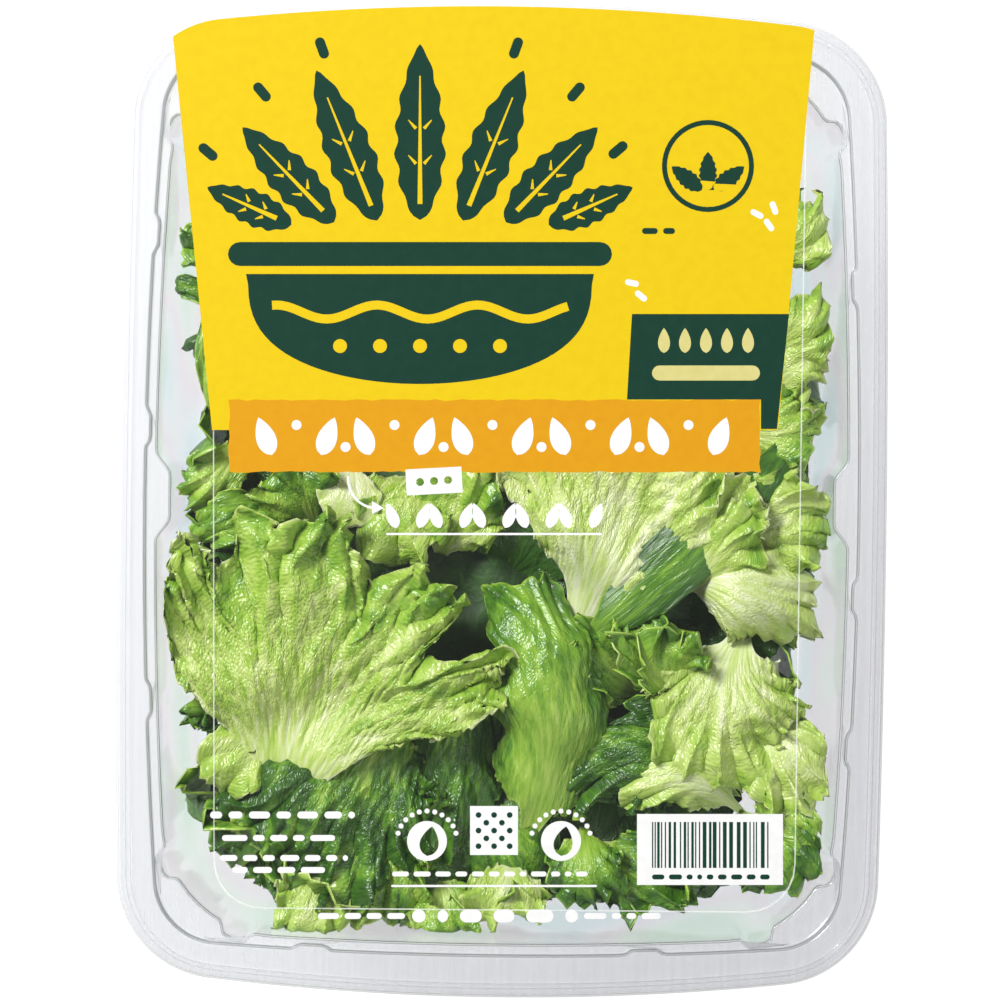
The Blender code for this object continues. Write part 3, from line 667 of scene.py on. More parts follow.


# Leaves: root, middle and tip of the midline in mm, half width in mm, spread of the margin and turn
# of the sides in degrees, height of the frills in mm, number of ribs, depth of the green and how
# crinkled the skin is, both from 0 to 1; the depth is partly the leaf's own green and partly painted shade on
# leaves low in the heap or in its gaps
topLeaves = (
    ("fan", (-53, -81, 41), (-46, -45, 50), (-37, -10, 52), 44, 84, 8, 3.4, 11, 0.12, 1.0),
    ("arch", (6, -84, 38), (12, -48, 55), (-1, -20, 45), 17, 128, -72, 0.8, 5, 0.38, 0.3),
    ("broad", (17, -36, 42), (28, -4, 52), (37, 26, 51), 29, 92, -6, 2.2, 9, 0.0, 0.8),
    ("strap", (14, -38, 44), (41, -15, 52), (72, 16, 47), 8, 106, -14, 0.2, 4, 0.56, 0.05),
    ("rolled", (42, -20, 40), (57, -20, 53), (74, -28, 46), 15, 112, -62, 2.0, 7, -0.05, 0.5),
    ("armUp", (44, -22, 42), (52, -12, 53), (61, -2, 52), 11, 100, -40, 3.0, 6, 0.15, 0.5),
    ("plume", (52, -15, 38), (64, -6, 49), (80, -4, 47), 13, 115, -15, 3.2, 7, 0.1, 0.7),
    ("curl", (55, -10, 42), (56, -3, 52), (60, 5, 53), 8, 118, 40, 3.2, 6, 0.05, 0.8),
    ("cupA", (35, -48, 34), (26, -39, 46), (19, -29, 47), 9, 120, 60, 3.2, 6, 0.42, 0.4),
    ("cupB", (41, -46, 34), (36, -36, 48), (32, -27, 47), 9, 120, 55, 3.2, 6, 0.38, 0.4),
    ("cupC", (47, -49, 36), (41, -39, 50), (45, -31, 49), 9, 120, 45, 3.2, 6, 0.35, 0.5),
    ("ribbed", (59, -30, 41), (54, -49, 52), (57, -68, 48), 19, 122, -26, 3.2, 10, 0.04, 0.8),
    ("lobe", (60, -48, 38), (68, -61, 49), (75, -73, 47), 11, 115, -10, 3.4, 7, 0.0, 0.6),
    ("fold", (59, -74, 38), (37, -61, 48), (15, -71, 44), 14, 118, -32, 2.6, 8, 0.54, 0.9),
    ("foldRim", (60, -76, 40), (45, -67, 51), (29, -72, 47), 7, 120, -60, 1.2, 5, 0.02, 0.5),
    ("crinkle", (-22, -46, 36), (-37, -70, 46), (-50, -98, 43), 23, 112, -12, 4.0, 11, 0.52, 1.0),
    ("crinkleB", (-31, -72, 34), (-28, -89, 43), (-28, -103, 40), 11, 118, -8, 3.6, 8, 0.28, 0.9),
    ("dark", (-5, -32, 31), (-11, -58, 42), (-15, -89, 40), 14, 112, -48, 1.4, 6, 0.56, 0.4),
    ("darkB", (-8, -62, 30), (0, -81, 40), (10, -97, 38), 13, 112, -20, 2.8, 7, 0.5, 0.6),
    ("stalk", (-1, -46, 44), (-9, -51, 47), (-16, -58, 45), 1.8, 120, -40, 0.2, 3, 0.0, 0.1),
    ("leftTip", (-62, 15, 40), (-69, 6, 46), (-78, 0, 44), 6.5, 115, -10, 2.4, 5, 0.25, 0.6),
    ("leftPale", (-65, -17, 38), (-73, -16, 43), (-80, -12, 41), 3.5, 115, -10, 0.9, 4, 0.05, 0.4),
    ("leftDark", (-53, -19, 34), (-60, -11, 44), (-66, -2, 44), 8.5, 118, 18, 1.6, 6, 0.75, 0.4),
    ("leftRim", (-47, -5, 37), (-61, -5, 47), (-74, -10, 45), 7, 115, -25, 2.4, 6, 0.36, 0.7),
    ("leftTop", (-44, -10, 36), (-49, -1, 48), (-55, 7, 48), 10, 110, -10, 3.0, 7, 0.38, 0.7),
    ("leftFall", (-63, -24, 34), (-70, -23, 42), (-73, -31, 40), 6, 115, -10, 2.0, 5, 0.5, 0.5),
    ("leftCurl", (-60, -40, 33), (-71, -33, 43), (-78, -30, 41), 7, 115, 20, 2.8, 6, 0.6, 0.5),
    ("leftSpur", (-63, -45, 36), (-72, -41, 44), (-81, -37, 42), 5, 112, -15, 1.8, 5, 0.35, 0.5),
    ("leftLow", (-62, -52, 33), (-71, -48, 42), (-78, -54, 40), 9, 115, -8, 3.4, 7, 0.5, 0.7),
    ("leftPad", (-53, -56, 36), (-61, -62, 45), (-66, -71, 45), 9, 115, -6, 2.6, 7, 0.12, 0.7),
    ("leftPadB", (-50, -68, 34), (-57, -74, 42), (-61, -81, 42), 7, 115, -6, 2.4, 6, 0.2, 0.7),
    ("corner", (-46, -84, 30), (-57, -83, 39), (-65, -88, 37), 13, 115, -6, 3.0, 8, 0.5, 0.7),
    ("footA", (-41, -86, 36), (-45, -97, 45), (-48, -107, 43), 9, 115, -10, 3.0, 7, 0.1, 0.7),
    ("footB", (-15, -89, 35), (-12, -99, 43), (-10, -107, 41), 9, 115, -8, 3.0, 7, 0.3, 0.7),
    ("footC", (4, -86, 36), (2, -96, 44), (1, -104, 42), 9, 115, -8, 3.0, 7, 0.1, 0.7),
    ("footD", (23, -82, 34), (33, -90, 43), (47, -96, 41), 11, 112, -8, 3.0, 7, 0.5, 0.7),
    ("footE", (21, -78, 37), (21, -88, 46), (23, -97, 43), 9, 115, -8, 3.0, 7, 0.44, 0.7),
    ("side", (57, -74, 38), (66, -83, 48), (72, -93, 48), 9, 115, -8, 2.6, 7, 0.42, 0.7),
    ("sideB", (61, -68, 38), (69, -75, 48), (76, -83, 48), 6, 112, -10, 2.4, 6, 0.3, 0.7),
    ("edgeR", (65, -45, 32), (71, -52, 40), (75, -59, 38), 6, 112, -10, 2.0, 5, 0.32, 0.7),
    ("edgeS", (64, -24, 34), (71, -26, 42), (77, -33, 40), 7, 112, -10, 2.4, 6, 0.32, 0.7),
    ("midPale", (-36, 11, 40), (-37, 2, 48), (-38, -7, 46), 8, 100, -10, 0.8, 4, -0.1, 0.2),
    ("midLeft", (-20, 7, 38), (-24, -2, 47), (-29, -14, 46), 11, 112, -10, 2.6, 7, 0.16, 0.7),
    ("midGreen", (-15, -14, 34), (-12, -4, 47), (-8, 9, 47), 13, 110, -14, 2.6, 7, 0.24, 0.7),
    ("midDark", (0, -21, 30), (5, -10, 41), (7, 5, 42), 12, 110, 16, 1.2, 5, 0.8, 0.4),
    ("bandR", (54, 17, 38), (66, 19, 48), (76, 23, 45), 10, 112, -12, 3.2, 7, 0.22, 0.8),
    ("bandS", (57, 7, 36), (66, 11, 45), (74, 11, 43), 9, 112, -12, 2.8, 7, 0.36, 0.8),
    ("highR", (60, 36, 38), (69, 41, 49), (74, 50, 47), 9, 110, -12, 2.6, 7, 0.16, 0.8),
    ("highS", (61, 24, 37), (70, 31, 48), (76, 31, 46), 9, 112, -8, 2.8, 7, 0.08, 0.8),
    ("highT", (64, 62, 36), (70, 64, 47), (75, 73, 44), 8, 112, -12, 2.4, 6, 0.14, 0.8),
    ("highL", (-60, 58, 40), (-69, 60, 49), (-78, 61, 48), 6, 112, -10, 2.4, 6, 0.42, 0.8),
    ("highM", (-62, 46, 40), (-71, 49, 49), (-80, 51, 48), 3, 112, -10, 1.4, 5, 0.5, 0.6),
    ("hidA", (-42, 41, 38), (-48, 67, 50), (-51, 91, 46), 22, 100, -6, 2.8, 9, 0.32, 0.7),
    ("hidB", (-8, 48, 38), (-5, 74, 51), (-8, 99, 45), 32, 100, -6, 3.0, 9, 0.22, 0.7),
    ("hidC", (33, 43, 38), (39, 69, 50), (47, 93, 46), 23, 100, -6, 2.8, 9, 0.26, 0.7),
    ("hidD", (-8, 24, 38), (-12, 41, 49), (-29, 53, 48), 22, 105, -6, 2.6, 8, 0.36, 0.7),
    ("highN", (-66, 50, 42), (-70, 38, 49), (-70, 22, 46), 4, 105, -10, 1.0, 5, 0.24, 0.5),
    ("highO", (-63, 33, 40), (-70, 36, 47), (-75, 36, 46), 4, 112, -10, 1.6, 5, 0.5, 0.7),
)
topParts = (("leavesCentre", 0, 4), ("leavesInner", 4, 12), ("leavesRight", 12, 20), ("leavesRim", 20, 41),
            ("leavesUnderPrint", 41, len(topLeaves)))    # the rows that go into each piece
leafForm = {    # mm
    "spacing": 0.8, "spacingRim": 0.9, "spacingHidden": 1.4, "spacingDeep": 1.45,    # of the grid's points
    "thickness": 0.4, "fold": 2.4, "foldWave": 26.0, "pleat": 0.75, "pleatWave": 12.0,
    "blister": 0.4, "blisterSize": 3.6, "crease": 0.42, "creaseWave": 5.5,
    "frillWaves": (12.0, 5.6, 2.8), "frillShares": (0.85, 0.66, 0.42), "frillStarts": (0.52, 0.70, 0.84),
    "lobe": 0.15, "teeth": 3.6, "toothWaves": (8.0, 3.6), "jag": 1.6, "jagWave": 5.5,
    "rib": 0.2, "paintedRimLightWidth": 0.5, "waist": 1.6, "slimRoot": 0.65, "sideShare": 0.86,
}
heap = {    # mm, the space that the leaves keep to inside the tray
    "halfX": 80.5, "halfY": 106.5, "taper": 8.0, "corner": 26.0, "foot": 12.0, "footRound": 5.0,
    "top": 57.0, "floor": 3.0, "softness": 1.0,
    "bare": 7.0, "bareTop": (46.0, 4.0),    # a gap along the sides under that height, and its slope
    "bareLeft": (-75.0, 12.0), "bareRight": (56.0, 12.0), "bareLow": (-18.0, 10.0),    # where it runs, in y
}


def holdInside(points):    # mm; presses points that pass the walls, floor or film softly back
    held = points.copy()
    soft = heap["softness"]
    held[:, 2] = heap["top"] - soft * np.logaddexp(0.0, (heap["top"] - held[:, 2]) / soft)
    held[:, 2] = heap["floor"] + soft * np.logaddexp(0.0, (held[:, 2] - heap["floor"]) / soft)
    narrow = heap["taper"] * (1.0 - held[:, 2] / heap["top"])
    narrow += heap["footRound"] * np.maximum(0.0, 1.0 - held[:, 2] / heap["foot"])
    left = smooth((held[:, 1] - heap["bareLeft"][0]) / heap["bareLeft"][1])
    right = smooth((held[:, 1] - heap["bareRight"][0]) / heap["bareRight"][1])
    right += smooth((heap["bareLow"][0] - held[:, 1]) / heap["bareLow"][1])
    bare = np.where(held[:, 0] < 0.0, left, right)
    narrow += heap["bare"] * bare * smooth((heap["bareTop"][0] - held[:, 2]) / heap["bareTop"][1])
    side = np.abs(held[:, 0]) - (heap["halfX"] - narrow - heap["corner"])
    end = np.abs(held[:, 1]) - (heap["halfY"] - narrow - heap["corner"])
    both = np.hypot(np.maximum(side, 0.0), np.maximum(end, 0.0))
    outX = np.maximum(side, 0.0) / np.maximum(both, 1e-9)
    outY = np.maximum(end, 0.0) / np.maximum(both, 1e-9)
    beyond = both - heap["corner"]
    move = -soft * np.logaddexp(0.0, -beyond / soft) - beyond
    held[:, 0] += np.sign(held[:, 0]) * outX * move
    held[:, 1] += np.sign(held[:, 1]) * outY * move
    return held


def ripples(a, b, wave, draw, count=6):    # smooth noise of about that wavelength, from -1 to 1
    total = np.zeros_like(a)
    for _ in range(count):
        turn = draw.uniform(0.0, 2.0 * math.pi)
        length = wave * draw.uniform(0.7, 1.5)
        total += np.sin(2.0 * math.pi * (a * math.cos(turn) + b * math.sin(turn)) / length
                        + draw.uniform(0.0, 2.0 * math.pi))
    return total / math.sqrt(2.0 * count)


def cellEdges(a, b, jitter):    # 0 on the lines between scattered cells, towards 1 inside them
    cellA, cellB = np.floor(a).astype(int), np.floor(b).astype(int)
    nearest = np.full(a.shape, 9.0)
    second = np.full(a.shape, 9.0)
    size = len(jitter)
    for stepA in (-1, 0, 1):
        for stepB in (-1, 0, 1):
            spot = jitter[(cellA + stepA) % size, (cellB + stepB) % size]
            distance = np.hypot(cellA + stepA + spot[..., 0] - a, cellB + stepB + spot[..., 1] - b)
            second = np.minimum(second, np.maximum(distance, nearest))
            nearest = np.minimum(nearest, distance)
    return np.clip(second - nearest, 0.0, 1.0)


def makeLeaf(name, leaf, draw, spacing, facing=(0.0, 0.0, 1.0)):
    root, middle, tip, halfWidth, spread, roll, frill, ribs, depth, crinkle = leaf
    root, middle, tip = (np.array(place, float) for place in (root, middle, tip))
    length = np.linalg.norm(middle - root) + np.linalg.norm(tip - middle)
    arc = math.radians(spread) * (halfWidth + length / 2.0)
    rows = max(10, int(length / spacing))
    columns = max(12, int(arc / spacing))
    share = np.linspace(0.0, 1.0, rows)
    out, across = np.meshgrid(0.06 + 0.94 * share * (1.25 - 0.25 * share), np.linspace(-1.0, 1.0, columns),
                              indexing="ij")
    margin = across * arc / 2.0
    none = np.zeros_like(out)
    wide = ripples(margin, none, 19.0, draw) * 0.6 + ripples(margin, none, 8.0, draw) * 0.4
    reach = out * (1.0 + leafForm["lobe"] * (0.4 + 0.6 * crinkle) * wide * smooth(out * 1.6 - 0.4))
    for wave, tall in zip(leafForm["toothWaves"], (1.0, 0.5)):    # pointed tips along the margin
        phase = math.pi * margin / wave + 1.2 * ripples(margin, none, wave * 4.0, draw)
        point = np.clip(0.6 + 0.7 * ripples(margin, none, wave * 5.0, draw), 0.0, 1.4)
        point *= 1.0 - np.abs(np.sin(phase))
        reach += leafForm["teeth"] * tall * crinkle * point * smooth((out - 0.80) / 0.20) / length
    slim = leafForm["slimRoot"]
    angle = math.radians(spread) * across * (slim + (1.0 - slim) * smooth(out * 1.4))
    angle += 0.07 * ripples(out * length, margin, 22.0, draw) * out
    along = margin + np.sign(across) * across ** 4 * (1.0 - out) * length    # mm, on down the leaf's sides
    edgeward = np.maximum(out, leafForm["sideShare"] * across ** 6 * smooth(out * 2.0 - 0.3))
    jag = 1.0 - np.abs(np.sin(math.pi * along / leafForm["jagWave"] + 1.5 * ripples(along, none, 20.0, draw)))
    margins = np.sign(across) * smooth((np.abs(across) - 0.86) / 0.14)
    angle += margins * crinkle * jag * smooth(out * 2.0 - 0.4) * leafForm["jag"] / (out * length + 6.0)
    forward = (reach * (1.0 + np.cos(angle)) / 2.0)[..., None]
    sideways = halfWidth * (reach ** leafForm["waist"] * np.sin(angle) + 0.12 * across * (1.0 - out))
    ahead = forward[..., 0] * length
    line = (root * (1.0 - forward) * (1.0 - 2.0 * forward) + middle * 4.0 * forward * (1.0 - forward)
            + tip * forward * (2.0 * forward - 1.0))
    heading = root * (4.0 * forward - 3.0) + middle * (4.0 - 8.0 * forward) + tip * (4.0 * forward - 1.0)
    heading /= np.linalg.norm(heading, axis=2, keepdims=True)
    side = np.cross(heading, np.array(facing))
    side /= np.linalg.norm(side, axis=2, keepdims=True)
    normal = np.cross(side, heading)

    # ribs that fan out from the root and double on the way
    ribbing = np.zeros_like(out)
    wander = 0.10 * ripples(ahead, sideways, 30.0, draw)
    apart = math.radians(spread) * reach * np.hypot(halfWidth * np.cos(angle), length / 2.0 * np.sin(angle))
    for level, (count, begin) in enumerate(((ribs, 0.0), (ribs * 2, 0.35), (ribs * 4, 0.62))):
        place = (across + wander) * count / 2.0
        gap = np.abs(place - np.round(place)) * 2.0 / count * apart
        width = (0.9 * (1.0 - out) + 0.3) / (1.0 + 0.45 * level)
        ribbing = np.maximum(ribbing, np.exp(-(gap / width) ** 2) * smooth((out - begin) / 0.15)
                             * (1.0 - 0.3 * level))
    ribbing *= np.clip(0.6 + 0.6 * ripples(ahead, sideways, 16.0, draw), 0.1, 1.0)
    girth, outer = angle * halfWidth * 0.9, reach * length    # mm round the leaf and out from its root
    rough = crinkle * smooth((out - 0.2) / 0.45)
    jitter = draw.uniform(0.1, 0.9, (40, 40, 2))
    bendA = girth + 1.5 * ripples(sideways, ahead, 8.0, draw)
    bendB = outer + 1.5 * ripples(sideways, ahead, 8.0, draw)
    size = leafForm["blisterSize"]
    cells = cellEdges(bendA / size + 20.0, bendB / (size * 1.7) + 20.0, jitter)
    blister = smooth(cells * 1.7) * (1.0 - ribbing * 0.5)
    # pale and deep patches in the green: partly the leaf's mottled tone, partly a painted sheen of whitish
    # glossy patches
    patches = ripples(girth, outer * 0.6, 15.0, draw) * 0.6 + ripples(girth, outer * 0.6, 5.5, draw) * 0.5
    small = min(1.0, halfWidth / 16.0)
    crease = 1.0 - 2.0 * np.abs(ripples(girth, outer * 0.6, leafForm["creaseWave"], draw, 4))
    height = ripples(sideways, ahead, leafForm["foldWave"], draw)
    height *= leafForm["fold"] * small * (0.4 + 0.6 * crinkle)
    height += leafForm["pleat"] * small * rough * ripples(girth, outer * 0.4, leafForm["pleatWave"], draw)
    height += leafForm["crease"] * rough * (0.4 + 0.6 * small) * crease
    height += leafForm["blister"] * rough * (0.4 + 0.6 * small) * blister
    height -= leafForm["rib"] * ribbing * (0.4 + 0.6 * crinkle)
    height *= smooth(out / 0.25)
    shift = np.zeros_like(out)
    for wave, tall, begin in zip(leafForm["frillWaves"], leafForm["frillShares"], leafForm["frillStarts"]):
        grow = np.clip((edgeward - begin) / (1.0 - begin), 0.0, 1.0) ** 1.3
        phase = 2.0 * math.pi * along / wave + 2.0 * ripples(along, out * length, wave * 2.5, draw)
        strength = np.clip(0.7 + 0.6 * ripples(along, out, wave * 4.5, draw), 0.1, 1.6)
        height += frill * tall * grow * np.sin(phase) * strength
        shift += frill * tall * grow * np.sin(2.0 * phase) * strength * 0.45

    curve = math.radians(roll) / halfWidth
    turn = curve * sideways
    flat = np.abs(turn) < 1e-4
    safe = np.where(flat, 1.0, turn)
    x = sideways * np.where(flat, 1.0, np.sin(safe) / safe)
    z = sideways * np.where(flat, turn / 2.0, (1.0 - np.cos(safe)) / safe)
    x = x - height * np.sin(turn) + shift * np.cos(angle)
    z = z + height * np.cos(turn)
    points = line + side * x[..., None] + normal * z[..., None] - heading * (shift * np.sin(angle))[..., None]
    points = holdInside(points.reshape(-1, 3)).reshape(points.shape)

    item = sheetGrid(name, points * mm)
    # a narrow band along the edge that the material paints paler: a painted highlight
    toEdge = np.minimum((1.0 - out) * length, (1.0 - np.abs(across)) * apart)
    values = {"ribbing": ribbing, "blister": blister * rough, "outward": edgeward,
              "depth": depth + (0.08 + 0.14 * crinkle) * patches, "crinkle": 0.25 + 0.75 * rough,
              "rim": np.exp(-(toEdge / leafForm["paintedRimLightWidth"]) ** 2)}
    for label, grid in values.items():
        attribute = item.data.attributes.new(label, "FLOAT", "POINT")
        attribute.data.foreach_set("value", grid.reshape(-1).astype(np.float32))
    corners = np.empty(len(item.data.loops), np.int32)
    item.data.loops.foreach_get("vertex_index", corners)
    layout = np.stack([girth + 90.0 * draw.uniform(), outer], axis=-1).reshape(-1, 2)[corners]
    while item.data.uv_layers:
        item.data.uv_layers.remove(item.data.uv_layers[0])
    item.data.uv_layers.new(name="leafMap").data.foreach_set("uv", layout.reshape(-1).astype(np.float32))
    thickness = item.modifiers.new("Thickness", "SOLIDIFY")
    thickness.thickness = leafForm["thickness"] * mm
    thickness.offset = 0.0
    applyAll(item)
    item.data.shade_smooth()
    return item


def leafMaterial():    # green leaf lettuce: waxy skin, pale ribs, green pads between, light shines through
    material, tree = newMaterial("greenLeafLettuce")
    ribbing, blister, outward, depth, crinkle, rim = [
        addNode(tree, "ShaderNodeAttribute", {"attribute_name": label}).outputs["Fac"]
        for label in ("ribbing", "blister", "outward", "depth", "crinkle", "rim")]
    layout = addNode(tree, "ShaderNodeUVMap", {"uv_map": "leafMap"})    # in mm
    alongRibs = addNode(tree, "ShaderNodeMapping", {"Scale": (1.0, 0.1, 1.0)}, {"Vector": layout})
    halfway = addNode(tree, "ShaderNodeMapping", {"Scale": (1.0, 0.6, 1.0)}, {"Vector": layout})
    streaks = addNode(tree, "ShaderNodeTexNoise", {"Scale": 1.0, "Detail": 1.0},
                      {"Vector": alongRibs})    # veinlets about 1 mm apart that run out to the margin
    mottle = addNode(tree, "ShaderNodeTexNoise", {"Scale": 1.0 / 2.2, "Detail": 2.0, "Roughness": 0.7},
                     {"Vector": halfway})    # puckers of about 2.2 mm
    grain = addNode(tree, "ShaderNodeTexNoise", {"Scale": 1.0 / 0.7, "Detail": 0.0},
                    {"Vector": layout})    # skin cells, drawn as coarse as 0.7 mm to show
    rise = addNode(tree, "ShaderNodeMath", {"operation": "POWER", 1: 2.4}, {0: outward})
    green = depth    # paler at the ribs, deeper towards the frills, and paler at the very rim as a painted highlight of light through the margin
    for source, share in ((rise, 0.24), (blister, 0.12), (streaks, 0.16), (mottle, 0.34), (ribbing, -0.12),
                          (rim, -0.34)):
        green = addNode(tree, "ShaderNodeMath", {"operation": "MULTIPLY_ADD", 1: share},
                        {0: source, 2: green})
    tint = addNode(tree, "ShaderNodeValToRGB", {"stops": (
        (0.05, "#f0f3d0"), (0.2, "#dfeaac"), (0.38, "#c8dc7c"), (0.56, "#aacb50"), (0.74, "#80ae30"),
        (0.88, "#53851f"), (1.0, "#335f14"))}, {0: green})
    through = addNode(tree, "ShaderNodeValToRGB", {"stops": (
        (0.05, "#eef6b8"), (0.45, "#c8e260"), (1.0, "#5d9a18"))}, {0: green})
    relief = addNode(tree, "ShaderNodeMath", {"operation": "MULTIPLY_ADD", 1: 0.42}, {0: grain, 2: mottle})
    bumps = addNode(tree, "ShaderNodeBump", {"Distance": 0.9 * mm}, {"Height": relief, "Strength": crinkle})
    skin = addNode(tree, "ShaderNodeBsdfPrincipled", {"Roughness": 0.3, "Specular IOR Level": 0.65},
                   {"Base Color": tint, "Normal": bumps})
    glow = addNode(tree, "ShaderNodeBsdfTranslucent", links={"Color": through})
    whole = addNode(tree, "ShaderNodeMixShader", {0: 0.13}, {1: skin, 2: glow})
    addNode(tree, "ShaderNodeOutputMaterial", links={"Surface": whole})
    return material


lettuceMaterial = leafMaterial()


def placeLettuce(name, items):
    piece = joinPieces(name, items)
    setMaterial(piece, lettuceMaterial)
    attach(piece, "root")
    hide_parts("lettuce")
    print(name, sum(len(face.vertices) - 2 for face in piece.data.polygons), "triangles")


def makeTopLeaves():
    draw = np.random.default_rng(5)
    made = []
    for place, leaf in enumerate(topLeaves):
        spacing = leafForm["spacing"] if place < topParts[3][1] else leafForm["spacingRim"]
        if leaf[0].startswith("hid"):
            spacing = leafForm["spacingHidden"]
        made.append(makeLeaf(leaf[0], leaf[1:], draw, spacing))
    for name, first, last in topParts:
        placeLettuce(name, made[first:last])


lowerLeaves = {    # mm and degrees
    "rows": 6, "columns": 4, "firstX": -50.0, "firstY": -84.0, "stepX": 33.0, "stepY": 34.0, "stray": 7.0,
    "halfLength": (15.0, 21.0), "height": (34.0, 39.0), "rootDrop": 9.0, "tipDrop": 5.0,
    "halfWidth": (14.0, 20.0), "roll": (-25.0, 10.0), "depth": (0.7, 1.0),
}


def makeFillLeaves():    # a lower layer that closes the gaps over the core; its deep greens are partly painted shade
    form = lowerLeaves
    draw = np.random.default_rng(8)
    made = []
    for row in range(form["rows"]):
        for column in range(form["columns"]):
            x = form["firstX"] + column * form["stepX"] + draw.uniform(-form["stray"], form["stray"])
            y = form["firstY"] + row * form["stepY"] + draw.uniform(-form["stray"], form["stray"])
            turn = draw.uniform(0.0, 2.0 * math.pi)
            ahead = np.array([math.cos(turn), math.sin(turn), 0.0]) * draw.uniform(*form["halfLength"])
            spot = np.array([x, y, draw.uniform(*form["height"])])
            leaf = (spot - ahead - (0, 0, form["rootDrop"]), spot, spot + ahead - (0, 0, form["tipDrop"]),
                    draw.uniform(*form["halfWidth"]), 112, draw.uniform(*form["roll"]), 3.0, 8,
                    draw.uniform(*form["depth"]), 0.7)
            made.append(makeLeaf("fill", leaf, draw, leafForm["spacingDeep"]))
    placeLettuce("leavesLower", made)


wallLeaves = {    # mm
    "count": 18, "halfX": 73.0, "halfY": 97.0, "low": (4.0, 14.0), "high": (36.0, 44.0), "lean": 16.0,
    "halfWidth": 19.0, "depth": (0.2, 0.7),
}


def makeWallLeaves():    # leaves that stand round the heap and show from the sides
    form = wallLeaves
    draw = np.random.default_rng(9)
    made = []
    for index in range(form["count"]):
        angle = 2.0 * math.pi * (index + 0.5) / form["count"]
        facing = np.array([math.cos(angle) * 1.15, math.sin(angle), 0.0])
        facing /= np.linalg.norm(facing)
        spot = facing / max(abs(facing[0]) / form["halfX"], abs(facing[1]) / form["halfY"])
        low, high = draw.uniform(*form["low"]), draw.uniform(*form["high"])
        aside = np.array([-facing[1], facing[0], 0.0]) * draw.uniform(-form["lean"], form["lean"])
        foot = spot * 0.9
        leaf = ((foot[0], foot[1], low), (spot[0], spot[1], (low + high) / 2.0),
                (spot[0] * 0.98 + aside[0], spot[1] * 0.98 + aside[1], high), form["halfWidth"], 112, -14.0,
                3.0, 8, draw.uniform(*form["depth"]), 0.8)
        made.append(makeLeaf("wall", leaf, draw, leafForm["spacingDeep"], facing=tuple(facing)))
    placeLettuce("leavesAround", made)


floorLeaves = {    # mm
    "places": ((-34, -62), (32, -58), (-2, -30), (-36, 8), (34, 4), (0, 36), (-34, 62), (34, 66)),
    "height": 3.6, "halfLength": (22.0, 28.0), "rootRise": 7.0, "tipRise": 2.0, "halfWidth": 24.0,
    "depth": (0.2, 0.6),
}


def makeFloorLeaves():    # leaves pressed flat on the tray's floor, seen from below
    form = floorLeaves
    draw = np.random.default_rng(10)
    made = []
    for x, y in form["places"]:
        turn = draw.uniform(0.0, 2.0 * math.pi)
        ahead = np.array([math.cos(turn), math.sin(turn), 0.0]) * draw.uniform(*form["halfLength"])
        spot = np.array([x, y, form["height"]])
        leaf = (spot - ahead + (0, 0, form["rootRise"]), spot, spot + ahead + (0, 0, form["tipRise"]),
                form["halfWidth"], 112, -6.0, 2.0, 9, draw.uniform(*form["depth"]), 0.7)
        made.append(makeLeaf("floor", leaf, draw, leafForm["spacingDeep"], facing=(0.0, 0.0, -1.0)))
    placeLettuce("leavesBelow", made)


def coreMaterial():    # the leaves deep in the heap, their near-black greens painted shade
    material, tree = newMaterial("shadedLettuce")
    place = addNode(tree, "ShaderNodeTexCoord").outputs["Object"]
    patches = addNode(tree, "ShaderNodeTexNoise", {"Scale": 1.0 / (8.0 * mm), "Detail": 5.0},
                      {"Vector": place})
    tint = addNode(tree, "ShaderNodeValToRGB", {"stops": (
        (0.3, "#16300c"), (0.55, "#2c5415"), (0.75, "#4c7a25"))}, {0: patches})
    relief = addNode(tree, "ShaderNodeBump", {"Strength": 0.8, "Distance": 2.0 * mm}, {"Height": patches})
    skin = addNode(tree, "ShaderNodeBsdfPrincipled", {"Roughness": 0.6},
                   {"Base Color": tint, "Normal": relief})
    addNode(tree, "ShaderNodeOutputMaterial", links={"Surface": skin})
    return material


lettuceHeart = {    # mm
    "middle": (0.0, -2.0, 21.5), "half": (58.0, 82.0, 14.0), "roundness": 0.45, "cuts": 38,
    "lumps": (2.6, 1.2), "lumpWaves": (19.0, 7.0),
}


def makeCore():    # a lumpy block under the leaves
    bpy.ops.object.select_all(action="DESELECT")
    bpy.ops.mesh.primitive_cube_add(size=2.0)
    core = bpy.context.active_object
    core.name = "lettuceCore"
    bpy.ops.object.mode_set(mode="EDIT")
    bpy.ops.mesh.subdivide(number_cuts=lettuceHeart["cuts"])
    bpy.ops.object.mode_set(mode="OBJECT")
    places = np.array([vertex.co for vertex in core.data.vertices])
    outward = places / np.linalg.norm(places, axis=1)[:, None]
    roundness = lettuceHeart["roundness"]
    blend = places * (1.0 - roundness) + outward * 1.3 * roundness
    draw = np.random.default_rng(12)
    x, y, z = (places * (60.0, 84.0, 31.0)).T
    lump = lettuceHeart["lumps"][0] * ripples(x + z, y, lettuceHeart["lumpWaves"][0], draw)
    lump += lettuceHeart["lumps"][1] * ripples(x, y + z, lettuceHeart["lumpWaves"][1], draw)
    places = np.array(lettuceHeart["middle"]) + blend * lettuceHeart["half"] + outward * lump[:, None]
    core.data.vertices.foreach_set("co", (places * mm).reshape(-1).astype(np.float32))
    core.data.update()
    core.data.shade_smooth()
    setMaterial(core, coreMaterial())
    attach(core, "root")
    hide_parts("lettuce")


makeTopLeaves()
makeFillLeaves()
makeWallLeaves()
makeFloorLeaves()
makeCore()
print("lettuce made")


# Stage: a white floor, a large key light from the upper left, a fill and a dim sky
light = {    # watts, strengths, and places and sizes in metres
    "key": 58.0, "keyPlace": (-1.12, 1.05, 1.5), "keySize": 0.75,
    "fill": 4.5, "fillPlace": (0.9, -0.5, 1.1), "fillSize": 1.0,
    "sky": 0.40, "zenith": 0.06, "floor": 0.95, "aim": (0.0, 0.0, 0.03),
}


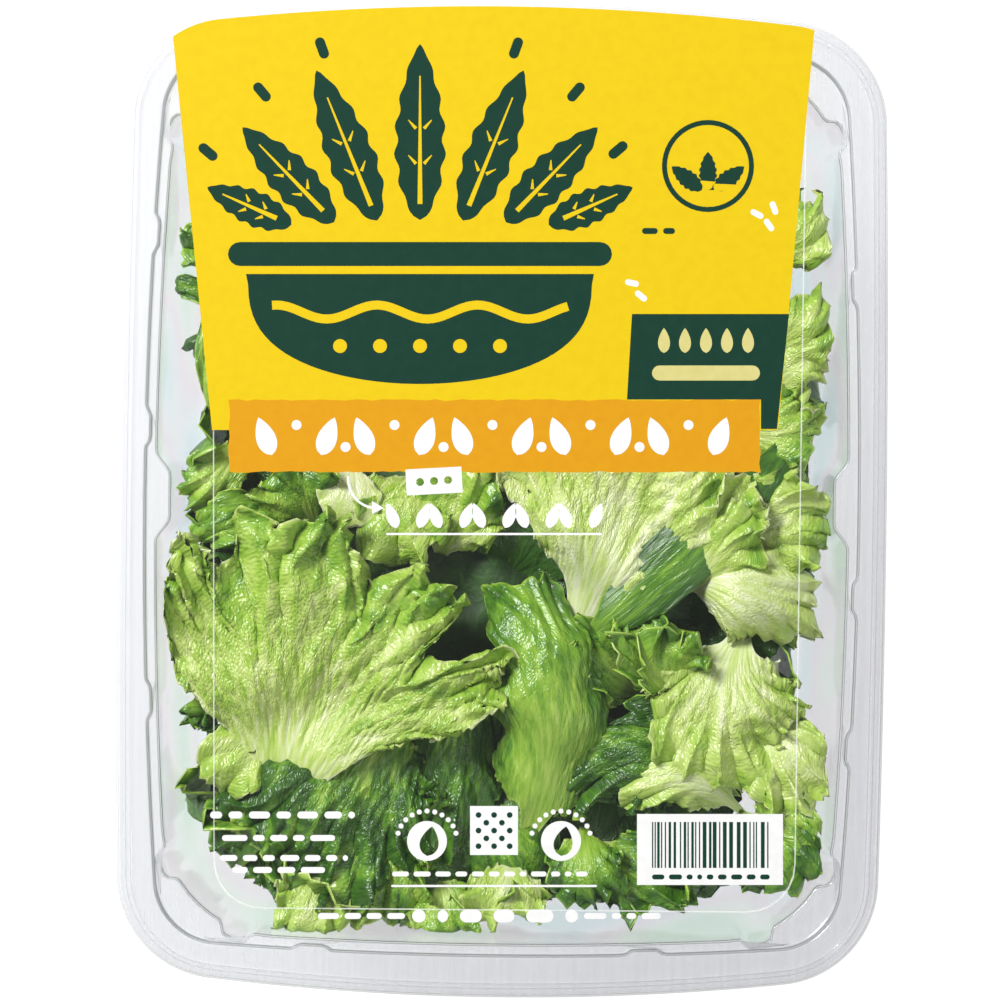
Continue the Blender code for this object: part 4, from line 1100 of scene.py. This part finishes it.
def floorMaterial():    # white paper sweep that glows enough to stay white round the pack
    material, tree = newMaterial("whiteSweep")
    place = addNode(tree, "ShaderNodeTexCoord").outputs["Object"]
    grain = addNode(tree, "ShaderNodeTexNoise", {"Scale": 1.0 / (40.0 * mm)}, {"Vector": place})
    tint = addNode(tree, "ShaderNodeValToRGB", {"stops": ((0.3, "#7a7a7a"), (0.7, "#7d7d7d"))}, {0: grain})
    paper = addNode(tree, "ShaderNodeBsdfPrincipled",
                    {"Roughness": 0.9, "Specular IOR Level": 0.1, "Emission Color": linear("#ffffff"),
                     "Emission Strength": light["floor"]}, {"Base Color": tint})
    addNode(tree, "ShaderNodeOutputMaterial", links={"Surface": paper})
    material.cycles.emission_sampling = "NONE"
    return material


def areaLight(name, place, size, power):
    data = bpy.data.lights.new(name, "AREA")
    data.shape = "DISK"
    data.size = size
    data.energy = power
    item = bpy.data.objects.new(name, data)
    bpy.context.scene.collection.objects.link(item)
    item.location = place
    ahead = np.array(light["aim"]) - np.array(place)
    item.rotation_euler = (math.acos(-ahead[2] / np.linalg.norm(ahead)), 0.0,
                           math.atan2(ahead[1], ahead[0]) - math.pi / 2)


bpy.ops.object.select_all(action="DESELECT")
bpy.ops.mesh.primitive_plane_add(size=8.0, location=(0.0, 0.0, 0.0))
floorSheet = bpy.context.active_object
floorSheet.name = "floorSheet"
setMaterial(floorSheet, floorMaterial())
areaLight("keyLight", light["keyPlace"], light["keySize"], light["key"])
areaLight("fillLight", light["fillPlace"], light["fillSize"], light["fill"])
world = bpy.data.worlds.new("studioSky")
world.use_nodes = True
skyTree = world.node_tree
skyPlace = addNode(skyTree, "ShaderNodeTexCoord")
skyApart = addNode(skyTree, "ShaderNodeSeparateXYZ", links={0: skyPlace.outputs["Generated"]})
skyShade = addNode(skyTree, "ShaderNodeMapRange",    # darker straight above, so the film mirrors little of it
                   {"From Min": 0.80, "From Max": 0.99, "To Min": light["sky"], "To Max": light["zenith"]},
                   {0: skyApart.outputs["Z"]})
skyTree.links.new(skyShade.outputs["Result"], skyTree.nodes["Background"].inputs["Strength"])
skyTree.nodes["Background"].inputs["Color"].default_value = linear("#ffffff")
bpy.context.scene.world = world
bpy.context.scene.view_settings.view_transform = "Standard"
bpy.context.scene.view_settings.look = "None"

camera = bpy.data.objects.new("camera", bpy.data.cameras.new("camera"))
bpy.context.scene.collection.objects.link(camera)
camera.data.sensor_width = photo["sensor"]
camera.data.lens = photo["sensor"] * photo["height"] / (photo["pixels"] * photo["pixel"])
camera.location = (photo["shiftX"] * mm, 0.0, filmTop + photo["height"] * mm)
camera.rotation_euler = (0.0, 0.0, photo["turn"])
camera.data.clip_end = 20.0
bpy.context.scene.camera = camera

print("cad", [round(v * 1000, 2) for v in (*cadLow, *cadHigh)])
